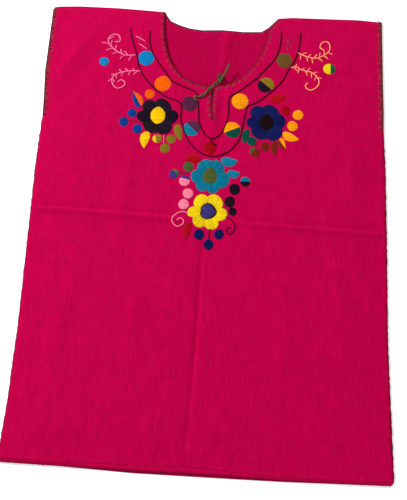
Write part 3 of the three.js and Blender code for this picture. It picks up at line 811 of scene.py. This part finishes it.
# %% The thread tree
def new_tree(name, *sizes):
    tree = bpy.data.node_groups.new(name, "GeometryNodeTree")
    new_socket = tree.interface.new_socket
    kinds = [("Geometry", "Geometry"), *((size, "Float") for size in sizes), ("Finish", "Material")]
    for socket, kind in kinds:
        new_socket(socket, in_out="INPUT", socket_type="NodeSocket" + kind)
    new_socket("Geometry", in_out="OUTPUT", socket_type="NodeSocketGeometry")
    given = tree.nodes.new("NodeGroupInput").outputs
    return Wire(tree), {socket.name: Wire(tree, socket) for socket in given}


def closed_tree(wire, given, geometry):
    real = wire.node("GeometryNodeRealizeInstances", {}, {0: geometry})
    finished = {"Geometry": real, "Material": given["Finish"]}
    shown = wire.node("GeometryNodeSetMaterial", {}, finished)
    wire.feed(wire.tree.nodes.new("NodeGroupOutput"), {0: shown})
    return wire.tree


def thread_tree():
    wire, given = new_tree("thread", "Radius")
    chains = wire.node("GeometryNodeMeshToCurve", {}, {0: given["Geometry"]})
    section = {"Resolution": 6, "Radius": given["Radius"]}
    ring = wire.node("GeometryNodeCurvePrimitiveCircle", {}, section)
    tube = {"Curve": chains, "Profile Curve": ring, "Fill Caps": True}
    return closed_tree(wire, given, wire.node("GeometryNodeCurveToMesh", {}, tube))


def grown(name, paths, tree, values, slot):
    points, edges, channels = [], [], []
    for path, colour in paths:
        first = len(points)
        points += path
        edges += [(first + i, first + i + 1) for i in range(len(path) - 1)]
        channels += list(colour) * len(path)
    piece = plain_object(name, points, edges, [])
    dye(piece, channels)
    values["Finish"] = floss_finish if slot == "cloth" else crochet_finish
    work = piece.modifiers.new("work", "NODES")
    work.node_group = tree
    for socket in tree.interface.items_tree:
        if socket.in_out == "INPUT" and socket.name in values:
            work[socket.identifier] = values[socket.name]
    seen = piece.evaluated_get(bpy.context.evaluated_depsgraph_get())
    mesh = bpy.data.meshes.new_from_object(seen)
    piece.modifiers.clear()
    piece.data = mesh
    mesh.shade_smooth()
    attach(piece, "root")
    print(name, len(paths), "paths,", len(mesh.polygons), "faces")
    return piece


THREAD = thread_tree()


def threads(name, paths, radius, slot="cloth"):
    return grown(name, paths, THREAD, {"Radius": radius * MM}, slot)


# %% [markdown]
# ## Satin stitch
# A filled motif is covered by stitches laid side by side. A dot's stitches cross it from edge
# to edge, and in a dot of two colours they run along the line that parts them. A leaf's cross
# it on a slant. A petal's run out from the flower's eye, so the dip where two petals meet
# appears where the stitches of both go down into the cloth. In the teal and the yellow flower
# the short stitches by a dip take the darker thread more often, as painted shade there.

# %% Stitches across an outline
PITCH = 0.8
FLOSS = 0.52
ROOT = -0.5
CROWN = 0.95
FRAY = 0.25
chance = random.Random(7)
vary = chance.uniform


def stitch(start, end, crown=CROWN, count=7):
    path = []
    for i in range(count):
        t = i / (count - 1)
        x = start[0] + (end[0] - start[0]) * t
        y = start[1] + (end[1] - start[1]) * t
        arch = 1 - abs(2 * t - 1) ** 3
        path.append((x, y, front_height(x, y) + ROOT + (crown - FLOSS - ROOT) * arch))
    return path


def shaded(colour, spread=0.14):
    share = 1 + vary(-spread, spread)
    return tuple(min(1.0, channel * share) for channel in THREADS[colour][:3]) + (1.0,)


def frayed(half):
    return half + vary(-FRAY, FRAY)


def dot_stitches(x, y, radius, degrees, upper, lower=None, share=0.0):
    turn = math.radians(degrees)
    cos, sin = math.cos(turn), math.sin(turn)
    made = []
    count = int(2 * radius / PITCH)
    for i in range(count):
        off = -radius + (i + 0.5) * 2 * radius / count
        half = frayed(math.sqrt(radius**2 - off**2))
        middle = (x - sin * off, y + cos * off)
        start = (middle[0] - cos * half, middle[1] - sin * half)
        end = (middle[0] + cos * half, middle[1] + sin * half)
        colour = lower if lower and off <= share * radius else upper
        made.append((stitch(start, end), shaded(colour)))
    return made


# %% Round dots
# x, y, radius, turn of the stitches in degrees, colour; of a dot in two colours also the colour
# below the line that parts them and how far up that line lies, as a share of the radius
DOTS = [
    (-121.5, 290, 14.3, 15, "sky"), (-89, 242, 14.5, -20, "orange"), (-41, 206, 14, 20, "purple"),
    (-34, 161, 14.5, -42, "purple", "teal"), (34, 161, 14.5, 25, "amber", "green"),
    (45, 215, 14.5, 8, "amber"), (88, 248, 14.5, -40, "olive", "ink"),
    (119, 297, 13.8, 12, "dull_olive"), (-2, 126, 11, 5, "red"), (-194, 280, 8.5, 40, "sky"),
    (197, 284.5, 10.3, 90, "yellow", "dark_green", -0.2), (-110, 221, 8.5, 30, "orange"),
    (-137, 184, 8, 25, "blue"), (-150, 167, 8.5, 10, "blue"), (-126, 155, 8.5, 0, "blue"),
    (-91, 139, 8, -75, "olive", "gold", -0.3), (-68, 139, 8, 15, "olive"),
    (-77, 122, 8.5, -10, "olive"), (123, 202, 8.7, 20, "red"), (144, 194, 9, -25, "amber"),
    (135, 173, 9, 5, "amber"), (90, 133, 8, 10, "brown"),
    (73, 122, 9, 45, "leaf_green", "brown", 0.35), (67.5, 142, 8.5, 35, "green"),
    (-36, 91, 8.5, 15, "leaf_green"), (-59, 77, 8.5, -45, "leaf_green", "violet", 0.3),
    (-41, 66, 9, -12, "violet", "pink", 0.35), (-34, 44, 8.7, 20, "pink"),
    (-40, 25, 8.7, -5, "pink"), (59, 69, 8.5, 0, "teal", "ink"), (42, 55, 9.6, 10, "ink"),
    (35, 33, 9.3, -15, "ink"), (40, 16.7, 7.4, 20, "ink"), (-12, -25, 9, 10, "navy"),
    (20, -23, 8.5, -20, "navy"), (4, -41, 8.5, 5, "navy"),
]
dots = []
for dot in DOTS:
    dots += dot_stitches(*dot)
threads("stitched_dots", dots, FLOSS)

# %% Leaves
# base x, y, tip x, y, width, colour; of a leaf in two colours, both are seen towards the tip,
# first the one on the left of the vein
LEAVES = [
    (-123, 198, -139, 224, 18, "blue", "orange"), (-112, 150, -112, 121, 17, "gold"),
    (-61, 165, -51, 137, 14, "olive"), (98, 217, 124, 229, 17, "red"),
    (119, 156, 146, 149, 16, "amber"), (113, 147, 124, 131, 14, "amber", "brown"),
    (104, 143, 107, 117, 13, "brown"), (58.5, 163, 55, 136.5, 14, "green"),
    (-18.5, 109, -41, 102, 20, "red"), (19.5, 101, 45, 105.5, 19, "teal"),
    (31, 79.5, 49.5, 84.5, 16, "teal"), (-30, -7, -32, -32, 14, "red"),
]
LEAF_WIDTHS = [(0, 0.35), (0.06, 0.72), (0.18, 0.93), (0.36, 1.0), (0.55, 0.88), (0.72, 0.64),
               (0.88, 0.32), (1, 0.03)]
LEAF_SLANT = 0.35


def leaf_stitches(x1, y1, x2, y2, wide, *colours):
    along = Vector((x2 - x1, y2 - y1))
    length = along.length
    along.normalize()
    left = Vector((-along.y, along.x))
    made = []
    count = int(length / PITCH * 1.05)
    for i in range(count):
        run = (i + 0.5) / count
        half = frayed(wide / 2 * between(LEAF_WIDTHS, run))
        middle = Vector((x1, y1)) + along * length * run
        slanted = along * half * LEAF_SLANT
        ends = (middle + left * half - slanted, middle - left * half + slanted)
        if len(colours) == 1:
            made.append((stitch(*ends), shaded(colours[0])))
        else:
            for end, colour in zip(ends, colours):
                made.append((stitch(middle, end, count=5), shaded(colour)))
    return made


leaves = []
for leaf in LEAVES:
    leaves += leaf_stitches(*leaf)
threads("stitched_leaves", leaves, FLOSS)

# %% Flowers
# each petal: turn and reach of its tip, then of the dip where it meets the next petal
# each eye: its thread, its fringe, and the turn and reach of its corners
PETAL_FULLNESS = 0.7
PETAL_FOOT = 11
PETAL_TUCK = 0.4
PETAL_ROWS = 30
LOOK_STEP = 0.25
SHORT_STITCH = 30
EYE_CROWN = 1.35
EYE_ROWS = 22
EYE_LOOKS = 72
FRINGE_CROWN = 1.6
FRINGE_STITCHES = 52
FLOWERS = [
    {"x": -93, "y": 181, "threads": ("ink", "ink"), "eye": ("gold", None),
     "corners": [(5, 13), (40, 15), (84, 16.5), (150, 15), (188, 14), (228, 14.5), (262, 15.5),
                 (325, 14)],
     "petals": [(3, 35.5, 29, 23.5), (81, 33.5, 105, 25.4), (130, 36, 161, 25.8),
                (181, 37, 209, 27.3), (248, 34.5, 273.5, 29.1), (298, 38, 329, 25.8)]},
    {"x": 91, "y": 177.5, "threads": ("navy", "navy"), "eye": ("bark", None),
     "corners": [(0, 13.5), (45, 15), (92, 14.5), (140, 14.5), (185, 14.5), (232, 14.5),
                 (275, 14), (318, 15)],
     "petals": [(11, 33.6, 38.5, 26.3), (83, 34.2, 104, 27.5), (128, 37, 160, 26),
                (182, 34.5, 204, 26.7), (244, 34.5, 274, 28.2), (299, 37, 340, 26.5)]},
    {"x": 0.5, "y": 75.5, "threads": ("teal", "deep_teal"), "eye": ("dark_olive", None),
     "corners": [(88, 16.5), (125, 14), (170, 13), (208, 14.5), (250, 12.5), (300, 13.8),
                 (335, 14.5), (40, 13)],
     "petals": [(-9, 34, 20, 23.5), (68, 32, 86, 27.3), (113, 31.6, 152, 23.3),
                (181, 32.5, 208, 25), (235, 31, 259, 22.9), (286, 30.5, 311, 25.7)]},
    {"x": 1, "y": 14.5, "threads": ("yellow", "ochre"), "eye": ("violet", "ink"),
     "corners": [(92, 14), (45, 11.2), (-1, 12.5), (300, 11), (262, 12), (211, 14), (180, 11),
                 (148, 13.5)],
     "petals": [(-7, 31, 19, 21.8), (68, 31.8, 97, 23.7), (120, 33, 161, 23.3),
                (189, 35, 203, 24.4), (231, 32.5, 258, 24.1), (288, 31.5, 318, 21.6)]},
]
# how much of each petal, in the order above, is worked in the flower's second thread; the
# short stitches by the dips take it more often, as painted shade where petals meet
DARKER = {"deep_teal": (0.15, 0.9, 0.3, 0, 0.1, 0.5), "ochre": (0.25, 0.6, 0.3, 0.2, 0.55, 0.5)}


def petal_reach(flower, petal, off):
    petals = flower["petals"]
    turn, reach, dip_turn, dip_reach = petals[petal]
    if off < 0:
        dip_turn, dip_reach = petals[petal - 1][2:]
    span = (dip_turn - turn + 180) % 360 - 180
    share = off / span
    if share > 1.03:
        return 0.0
    fullness = max(0.0, math.cos(share * math.pi / 2)) ** PETAL_FULLNESS
    return dip_reach + (reach - dip_reach) * fullness


def petal_stitches(flower, petal):
    turn, reach = flower["petals"][petal][:2]
    cos, sin = math.cos(math.radians(turn)), math.sin(math.radians(turn))
    main, second = flower["threads"]
    made = []
    for i in range(-PETAL_ROWS, PETAL_ROWS + 1):
        off = i * PITCH
        inside = []
        for step in range(int(reach / LOOK_STEP) + 1):
            run = step * LOOK_STEP
            rim = petal_reach(flower, petal, math.degrees(math.atan2(off, run)))
            if PETAL_FOOT < math.hypot(run, off) < rim:
                inside.append(run)
        if len(inside) < 6:
            continue
        ends = []
        for run in (inside[0] - PETAL_TUCK, frayed(inside[-1])):
            ends.append((flower["x"] + cos * run - sin * off, flower["y"] + sin * run + cos * off))
        # short stitches lie by the dips, where the darker thread stands for painted shade
        painted_shade_near_dip = 1.0 if len(inside) < SHORT_STITCH else 0.4
        dark = chance.random() < DARKER.get(second, (0,) * 6)[petal] * painted_shade_near_dip
        made.append((stitch(*ends, count=8), shaded(second if dark else main)))
    return made


def eye_reach(flower, angle):
    corners = sorted((turn % 360, reach) for turn, reach in flower["corners"])
    before, after = corners[-1], corners[0]
    closed = [(before[0] - 360, before[1]), *corners, (after[0] + 360, after[1])]
    return between(closed, math.degrees(angle) % 360)


def eye_stitches(flower):
    thread, fringe = flower["eye"]
    x, y = flower["x"], flower["y"]
    made = []
    for i in range(-EYE_ROWS, EYE_ROWS + 1):
        off = (i + 0.5) * PITCH
        runs = [step * LOOK_STEP for step in range(-EYE_LOOKS, EYE_LOOKS + 1)]
        inside = [run for run in runs
                  if math.hypot(off, run) < eye_reach(flower, math.atan2(off, run))]
        if len(inside) > 4:
            ends = ((x + frayed(inside[0]), y + off), (x + frayed(inside[-1]), y + off))
            made.append((stitch(*ends, crown=EYE_CROWN), shaded(thread, 0.2)))
    for i in range(FRINGE_STITCHES if fringe else 0):
        angle = i / FRINGE_STITCHES * 2 * math.pi
        ends = []
        for turned, out in ((angle, -0.9), (angle + 0.12, 1.3)):
            reach = eye_reach(flower, turned) + out
            ends.append((x + reach * math.cos(turned), y + reach * math.sin(turned)))
        made.append((stitch(*ends, crown=FRINGE_CROWN, count=5), shaded(fringe)))
    return made


flowers = []
for flower in FLOWERS:
    for petal in range(len(flower["petals"])):
        flowers += petal_stitches(flower, petal)
    flowers += eye_stitches(flower)
threads("stitched_flowers", flowers, FLOSS)

# %% [markdown]
# ## Stem stitch
# Outlines, vines and stems are worked in stem stitch: short plump stitches, each slanting over
# the one before. Geometry Nodes resample the line at the stitch pitch and put one grain on
# every point, turned along the line and then by the slant. A grain is a small stretched
# sphere of a few dozen faces, for there are hundreds.

# %% The stem stitch tree
def stem_tree():
    wire, given = new_tree("stem stitch", "Pitch", "Length", "Width", "Slant")
    line = wire.node("GeometryNodeMeshToCurve", {}, {0: given["Geometry"]})
    spacing = {"Curve": line, "Length": given["Pitch"]}
    even = wire.node("GeometryNodeResampleCurve", {"mode": "LENGTH"}, spacing)
    tangent = wire.node("GeometryNodeInputTangent")
    axes = {"axis": "X", "pivot_axis": "Z"}
    along = wire.node("FunctionNodeAlignRotationToVector", axes, {"Vector": tangent})
    slant = wire.node("ShaderNodeCombineXYZ", {}, {"Z": given["Slant"]})
    turns = {"Rotation": along, "Rotate By": slant}
    leaning = wire.node("FunctionNodeRotateRotation", {"rotation_space": "LOCAL"}, turns)
    ball = {"Segments": 8, "Rings": 5, "Radius": 0.5}
    grain = wire.node("GeometryNodeMeshUVSphere", {}, ball)
    extents = {"X": given["Length"], "Y": given["Width"], "Z": given["Width"]}
    shape = wire.node("ShaderNodeCombineXYZ", {}, extents)
    grains = {"Points": even, "Instance": grain, "Rotation": leaning, "Scale": shape}
    laid = wire.node("GeometryNodeInstanceOnPoints", {}, grains)
    return closed_tree(wire, given, laid)


STEM = stem_tree()


def stems(name, paths, grain, slot="cloth"):
    pitch, length, width, slant = grain
    sizes = {"Pitch": pitch * MM, "Length": length * MM, "Width": width * MM, "Slant": slant}
    return grown(name, paths, STEM, sizes, slot)


def on_front(points, above, step=2.5):
    flat = curve_through(points, step)
    return [(p.x, p.y, front_height(p.x, p.y) + above) for p in flat]


# %% Yoke
# each grain of stem stitch: pitch, length, width, slant
YOKE_GRAIN = (3.0, 4.8, 2.3, 0.22)
YOKE_ABOVE = 0.45
YOKE_OUTER = [
    (-154, 347), (-149, 328), (-137, 291), (-130, 266), (-116, 246), (-100, 230), (-87, 220),
    (-74, 214), (-59, 209), (-55, 203), (-54, 186), (-54, 176), (-51, 167), (-45, 150),
    (-35, 133), (-16, 116), (-5, 112), (13, 113), (27, 120), (40, 133), (48, 150), (51, 168),
    (55, 193), (57, 205), (72, 213), (87, 225), (102, 240), (116, 257), (126, 278), (138, 301),
    (144, 322), (147, 351),
]
YOKE_INNER = [
    (-119, 344), (-118, 327), (-112, 303), (-101, 285), (-87, 266), (-74, 249), (-58, 240),
    (-40, 233), (-30, 226), (-27, 211), (-25, 194), (-23, 175), (-17, 159), (-10, 149),
    (0, 143), (12, 150), (20, 165), (25, 180), (26, 202), (27, 222), (39, 231), (53, 243),
    (68, 256), (80, 270), (93, 286), (104, 302), (111, 326), (113, 354),
]
YOKE_TAIL = [(-1, 143), (1, 137), (8, 132)]
yoke = [(on_front(line, YOKE_ABOVE), THREADS["maroon"])
        for line in (YOKE_OUTER, YOKE_INNER, YOKE_TAIL)]
stems("yoke_lines", yoke, YOKE_GRAIN)

# %% Vines, stems and curls
VINE_GRAIN = (2.2, 3.6, 1.75, 0.2)
THIN_STEM_GRAIN = (2.4, 3.6, 1.2, 0.2)
CURL_GRAIN = (2.4, 3.6, 2.0, 0.2)
STEM_ABOVE = 0.35
STEM_STEP = 1.5
LEFT_VINES = [
    [(-142, 295), (-156, 294), (-170, 299), (-181, 307), (-189, 317), (-190, 327), (-183, 334),
     (-175, 334), (-170, 327), (-171, 320), (-177, 320)],
    [(-129, 264), (-143, 264), (-159, 261), (-171, 256), (-177, 248), (-176, 239), (-169, 230),
     (-160, 231), (-154, 238), (-157, 244), (-163, 245), (-166, 242)],
]
RIGHT_VINES = [
    [(143, 313), (153, 308), (164, 305), (174, 304), (182, 307), (191, 313), (197, 320),
     (198, 329), (195, 337), (190, 338), (184, 335), (181, 329), (182, 324), (187, 321)],
    [(131, 284), (141, 285), (149, 280), (159, 278), (168, 275), (175, 269), (179, 261),
     (178, 252), (172, 245), (165, 242), (159, 244), (156, 249), (159, 255)],
]
THIN_STEMS = [
    ("purple", [(-143, 169), (-136, 170), (-129, 169)]), ("pink", [(-80, 145), (-80, 132)]),
    ("red", [(76, 142), (73, 130)]), ("purple", [(-52, 78), (-45, 77), (-37, 74)]),
    ("purple", [(-51, 81), (-44, 81), (-37, 79)]),
]
CURLS = [
    ("maroon", [(5, -16), (4, -24), (4, -33)]),
    ("pink", [(-33, 11), (-43, 12), (-52, 7), (-57, 0), (-55, -8), (-48, -13), (-41, -10),
              (-38, -5), (-41, 0), (-46, 0), (-48, -2)]),
    ("maroon", [(31, 6), (38, 3), (43, -3), (45, -10), (43, -17), (38, -22), (33, -20.5),
                (31, -15), (33, -12), (37, -11)]),
]
vines = [("pale_pink", line) for line in LEFT_VINES] + [("salmon", line) for line in RIGHT_VINES]


def stem_piece(name, rows, grain):
    lines = [(on_front(line, STEM_ABOVE, STEM_STEP), THREADS[colour]) for colour, line in rows]
    stems(name, lines, grain)


stem_piece("vines", vines, VINE_GRAIN)
stem_piece("thin_stems", THIN_STEMS, THIN_STEM_GRAIN)
stem_piece("curls", CURLS, CURL_GRAIN)

# %% [markdown]
# ## Barbs and crosses
# Straight stitches stand off both sides of each vine, slanting towards its hooked end. They
# follow one rule, as a needleworker works them too: a stitch every so often on either side,
# the two sides out of step, along the part before the hook. Each vine has its own pitch,
# lengths and first stitches, on the left and on the right of the way the vine was worked.

# %% Straight stitches beside the vines
BARB_FOOT = 1.6
BARB_CROWN = 1.1
BARB_FLOSS = 0.66
# pitch, share of the vine that has them, slant; left: first and length; right: first and length
BARBS = [
    (13, 0.6, 52, (5, 11.5), (11, 10), ("pale_pink",)),
    (11.5, 0.5, 54, (5, 8), (9, 6.5), ("pale_pink",)),
    (10.5, 0.55, 62, (6.5, 8), (5, 9), ("salmon", "salmon", "honey")),
    (11.5, 0.54, 60, (7, 6.5), (4, 8.5), ("salmon", "honey", "salmon")),
]


def barbs(line, rule):
    pitch, share, slant, left, right, colours = rule
    path = curve_through(line, 0.5)
    until = path_length(path) * share
    made = []
    for sign, (first, long) in ((1, left), (-1, right)):
        gone, due = 0.0, first
        for a, b in zip(path, path[1:]):
            gone += (b - a).length
            if gone < due or gone > until:
                continue
            due += pitch * vary(0.9, 1.1)
            ahead = (b - a).normalized()
            turn = sign * math.radians(slant + vary(-10, 10))
            lean = Vector((ahead.x * math.cos(turn) - ahead.y * math.sin(turn),
                           ahead.x * math.sin(turn) + ahead.y * math.cos(turn)))
            start = b + lean * BARB_FOOT * vary(0.3, 1.2)
            end = start + lean * long * vary(0.85, 1.1)
            work = stitch(start, end, crown=BARB_CROWN, count=5)
            made.append((work, shaded(chance.choice(colours))))
    return made


CROSSES = [
    ("pale_pink", (-143, 333), (-126, 323.5)), ("rose", (-133, 336), (-137.5, 323)),
    ("pale_pink", (-136, 318), (-122, 308.5)), ("rose", (-123, 320), (-129, 308)),
    ("moss_soft", (121, 338), (131, 324)), ("moss_soft", (132, 339), (121, 325)),
    ("moss_soft", (123, 324), (126, 312)),
]
straight = [(stitch(a, b, crown=BARB_CROWN), THREADS[colour]) for colour, a, b in CROSSES]
for line, rule in zip(LEFT_VINES + RIGHT_VINES, BARBS):
    straight += barbs(line, rule)
threads("barbs_and_crosses", straight, BARB_FLOSS)

# %% [markdown]
# ## Edgings
# The neck, the slit and the armholes are bound with needle-worked thread: a chain along the
# cut edge, and every so often a forked stitch that reaches into the cloth. The chain is stem
# stitch worked thick. A forked stitch is one straight stitch that parts into two, and short
# slanting ones fill the band between them.

# %% Chains along the edges
ON_BACK = 1.05
ON_FRONT = 2.15
EDGE_FLOSS = 0.42
EDGE_ROOT = -0.3
EDGE_CROWN = 0.65
LINE_STEP = 1.0


def edging_piece(name, paths, stitches, width):
    grain = (2.4, 3.8, width, 0.35)
    chain = stems(name + "_chain", paths, grain, "edging")
    worked = threads(name + "_stitches", stitches, EDGE_FLOSS, "edging")
    for piece in (chain, worked):
        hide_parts(name + "_edging")


def on_cloth(start, end, height, colour):
    path = []
    for i in range(5):
        at = start.lerp(end, i / 4)
        arch = 1 - abs(i / 2 - 1) ** 3
        path.append((at.x, at.y, height(at.x, at.y) + EDGE_ROOT + EDGE_CROWN * arch))
    return path, shaded(colour, 0.25)


def fork(foot, inward, sideways, height, colour, reach):
    elbow = foot + inward * reach * 0.42
    made = [on_cloth(foot, elbow, height, colour)]
    for lean in (-0.75, 0.7):
        way = (inward + sideways * lean).normalized()
        tip = elbow + way * reach * vary(0.5, 0.65)
        made.append(on_cloth(elbow, tip, height, colour))
    return made


# forks: pitch, reach, colour; band: pitch, depth, colours
def worked_edge(path, side, height, forks, band):
    pitch, reach, colour = forks
    every, deep, colours = band
    made = []
    gone, due, next_stitch = 0.0, pitch / 2, 1.5
    for a, b in zip(path, path[1:]):
        gone += (b - a).length
        ahead = (b - a).normalized()
        inward = Vector((ahead.y, -ahead.x)) * side
        if gone > next_stitch:
            next_stitch += every * vary(0.8, 1.25)
            slant = ahead * vary(-0.6, 0.6)
            end = b + (inward + slant).normalized() * deep * vary(0.5, 1.1)
            made.append(on_cloth(b, end, height, chance.choice(colours)))
        if gone > due:
            due += pitch * vary(0.85, 1.15)
            made += fork(b, inward, ahead, height, colour, reach)
    return made


# %% The neck's and the armholes' edgings
NECK_FORKS = (11.5, 7.5, "moss")
NECK_BAND = (2.4, 3.2, ("moss_soft", "edge_soft"))
BACK_FORKS = (16.5, 5, "rose")
BACK_BAND = (3.0, 2.2, ("rose", "edge_soft"))
ARM_FORKS = (13.5, 8.5, "moss")
# half of the band's close stitches are dark magenta, so the cloth is darker towards the armhole
# edge
ARM_BAND = (1.0, 6.5, ("dull_rose", "edge_soft", "moss_soft", "edge_soft"))
ARM_TOP = 384
ARM_STEP = 3.5

neck_line = close_points(FRONT_NECK, LINE_STEP)
neck_chain = [(p.x, p.y, front_height(p.x, p.y) + 0.05) for p in neck_line]
# the chain round the left of the neck and down the slit is darker: painted shadow under the raised
# edge
neck_paths = [([p for p in neck_chain if p[0] < 6], THREADS["edge_dark_painted_shadow"]),
              ([p for p in neck_chain if p[0] >= 5], THREADS["edge_soft"])]
neck_work = worked_edge(neck_line, 1, front_height, NECK_FORKS, NECK_BAND)
edging_piece("front_neck", neck_paths, neck_work, 1.1)

back_line = close_points(BACK_NECK, LINE_STEP)
back_paths = [([(p.x, p.y, ON_BACK + 0.1) for p in back_line], THREADS["edging"])]
back_work = worked_edge(back_line, 1, back_height, BACK_FORKS, BACK_BAND)
edging_piece("back_neck", back_paths, back_work, 1.9)

heights = [UNDERARM + i * ARM_STEP for i in range(int((ARM_TOP - UNDERARM) / ARM_STEP) + 1)]
for name, column, inward in (("left_armhole", LEFT, 1), ("right_armhole", RIGHT, -1)):
    sides = [(between(SIDES, y, column), y) for y in heights]
    front_strand = [(x + inward * 1.5, y, ON_FRONT + 0.2) for x, y in sides]
    back_strand = [(x - inward * 0.3, y, ON_BACK) for x, y, _ in reversed(front_strand)]
    ring = [*front_strand, *back_strand, front_strand[0]]
    edge = close_points([(x + inward * 2.0, y) for x, y in sides], LINE_STEP)
    arm_work = worked_edge(edge, inward, front_height, ARM_FORKS, ARM_BAND)
    edging_piece(name, [(ring, THREADS["edging"])], arm_work, 2.6)

# %% [markdown]
# ## Hem
# The hem is a narrow turned fold held by a line of running stitches, and its folded edge is
# finished with small close bumps of the same thread. Both are darker than the cloth: partly the
# thread's own colour, partly painted shadow in the hem's groove and under its edge. A sparse row
# of light stitches above them is a painted highlight along the fold. The stitches are the same
# grains again, at a running stitch's wider pitch.

# %% Hem stitches, edge bumps and painted highlights
HEM_ROW_GRAIN = (4.4, 3.4, 1.2, 0.12)
HEM_BUMP_GRAIN = (4.6, 4.2, 1.7, 0.5)
HIGHLIGHT_GRAIN = (13.5, 3.0, 0.7, 0.1)
HEM_ROW_UP = 0.6
HIGHLIGHT_UP = 3.2

hem_x = [-284 + i * 4 for i in range(143)]
hem_at = [(x, between(HEM_STITCHES, x) + HEM_ROW_UP) for x in hem_x]
hem_line = [(x, y, front_sheet_height(x, y) + 0.1) for x, y in hem_at]
edge_line = [(x, between(HEMS, x, FRONT) + vary(-0.6, 1.4),
              FRONT_TOP + HEM_THICKER - 0.5) for x in hem_x]
highlight_line = [(x, y + HIGHLIGHT_UP, front_height(x, y + HIGHLIGHT_UP) + 0.1) for x, y in hem_at]
# the hem row and the edge bumps are dark partly as painted shadow of the groove and the edge
stems("hem_stitches", [(hem_line, THREADS["seam"])], HEM_ROW_GRAIN)
stems("hem_edge_bumps", [(edge_line, THREADS["seam"])], HEM_BUMP_GRAIN)
# light stitches above the hem row stand for a painted highlight along the fold
stems("hem_painted_highlights", [(highlight_line, THREADS["seam_light"])], HIGHLIGHT_GRAIN)

# %% [markdown]
# ## Side seams
# The halves are sewn together along both sides, from the hem up to the armholes. From above each
# seam shows as a row of small bumps, darkened as painted shadow of the rolled side edges, so it
# is stem stitch once more, on a line that wavers a little as hand sewing does.

# %% Rows along the sides
SEAM_GRAIN = (3.2, 3.4, 1.5, 0.15)
SEAM_HEIGHT = FRONT_TOP - EDGE_ROLL + 0.1


def seam_line(column, inward):
    path = []
    for y in range(-380, UNDERARM - 4, 4):
        x = between(SIDES, y, column) + inward * vary(-0.4, 0.9)
        path.append((x, y, SEAM_HEIGHT))
    return path, THREADS["seam_dark"]


# real seams along both sides, coloured dark as painted shadow of the rolled edges
stems("side_seams", [seam_line(LEFT, 1), seam_line(RIGHT, -1)], SEAM_GRAIN)

# %% [markdown]
# ## How much cloth shows
# Both halves are one length of cloth. The area of each that shows is summed and printed. They
# are laid, not draped: the back lies on the table, and the front on the back.

# %% Area of both sheets
def flat_area(piece):
    return sum(face.area for face in piece.data.polygons)


areas = [round(flat_area(half), 3) for half in (front, back)]
print("cloth that shows", *areas, "square metres")

# %% [markdown]
# ## Floor and light
# The floor is a plain pale sheet. The key light is a soft lamp beyond the upper left corner, low
# enough that the creases throw short shadows, and a white world fills them. The lamp is small for
# its distance, so that the cloth's low folds still show.

# %% Floor, lamp and world
FLOOR_REACH = 3.0
FLOOR_AT = -0.0002
FLOOR_GREYS = ((0.93, 0.93, 0.93, 1), (0.95, 0.95, 0.95, 1))
WHITE = (1.0, 1.0, 1.0, 1.0)
LAMP_SIZE = 0.4
LAMP_POWER = 146
LAMP_AT = (-2.5, 1.6, 1.85)
WORLD_STRENGTH = 0.76

floor_finish, wire, shader = new_finish("pale_floor")
grain = cloud(wire.node("ShaderNodeTexCoord", out=3), 60, 60, 60, 2.0)
wire.feed(shader, {
    "Base Color": wire.blend(grain, *FLOOR_GREYS),
    "Roughness": 0.9,
    "Specular IOR Level": 0.1,
    "Emission Color": WHITE,
    "Emission Strength": 0.2,
})
floor_mesh = bpy.data.meshes.new("floor")
signs = ((-1, -1), (1, -1), (1, 1), (-1, 1))
corners = [(x * FLOOR_REACH, y * FLOOR_REACH, FLOOR_AT) for x, y in signs]
floor_mesh.from_pydata(corners, [], [(0, 1, 2, 3)])
floor_mesh.materials.append(floor_finish)
floor = new_object("floor", floor_mesh)

lamp = new_object("key_lamp", bpy.data.lights.new("key_lamp", "AREA"))
lamp.data.size = LAMP_SIZE
lamp.data.energy = LAMP_POWER
lamp.location = LAMP_AT
lamp.rotation_euler = (-lamp.location).to_track_quat("-Z", "Y").to_euler()

world = bpy.data.worlds.new("studio")
world.use_nodes = True
background = world.node_tree.nodes["Background"].inputs
background["Color"].default_value = WHITE
background["Strength"].default_value = WORLD_STRENGTH
bpy.context.scene.world = world
bpy.context.scene.view_settings.view_transform = "Standard"
print("lamp", LAMP_POWER, "W")
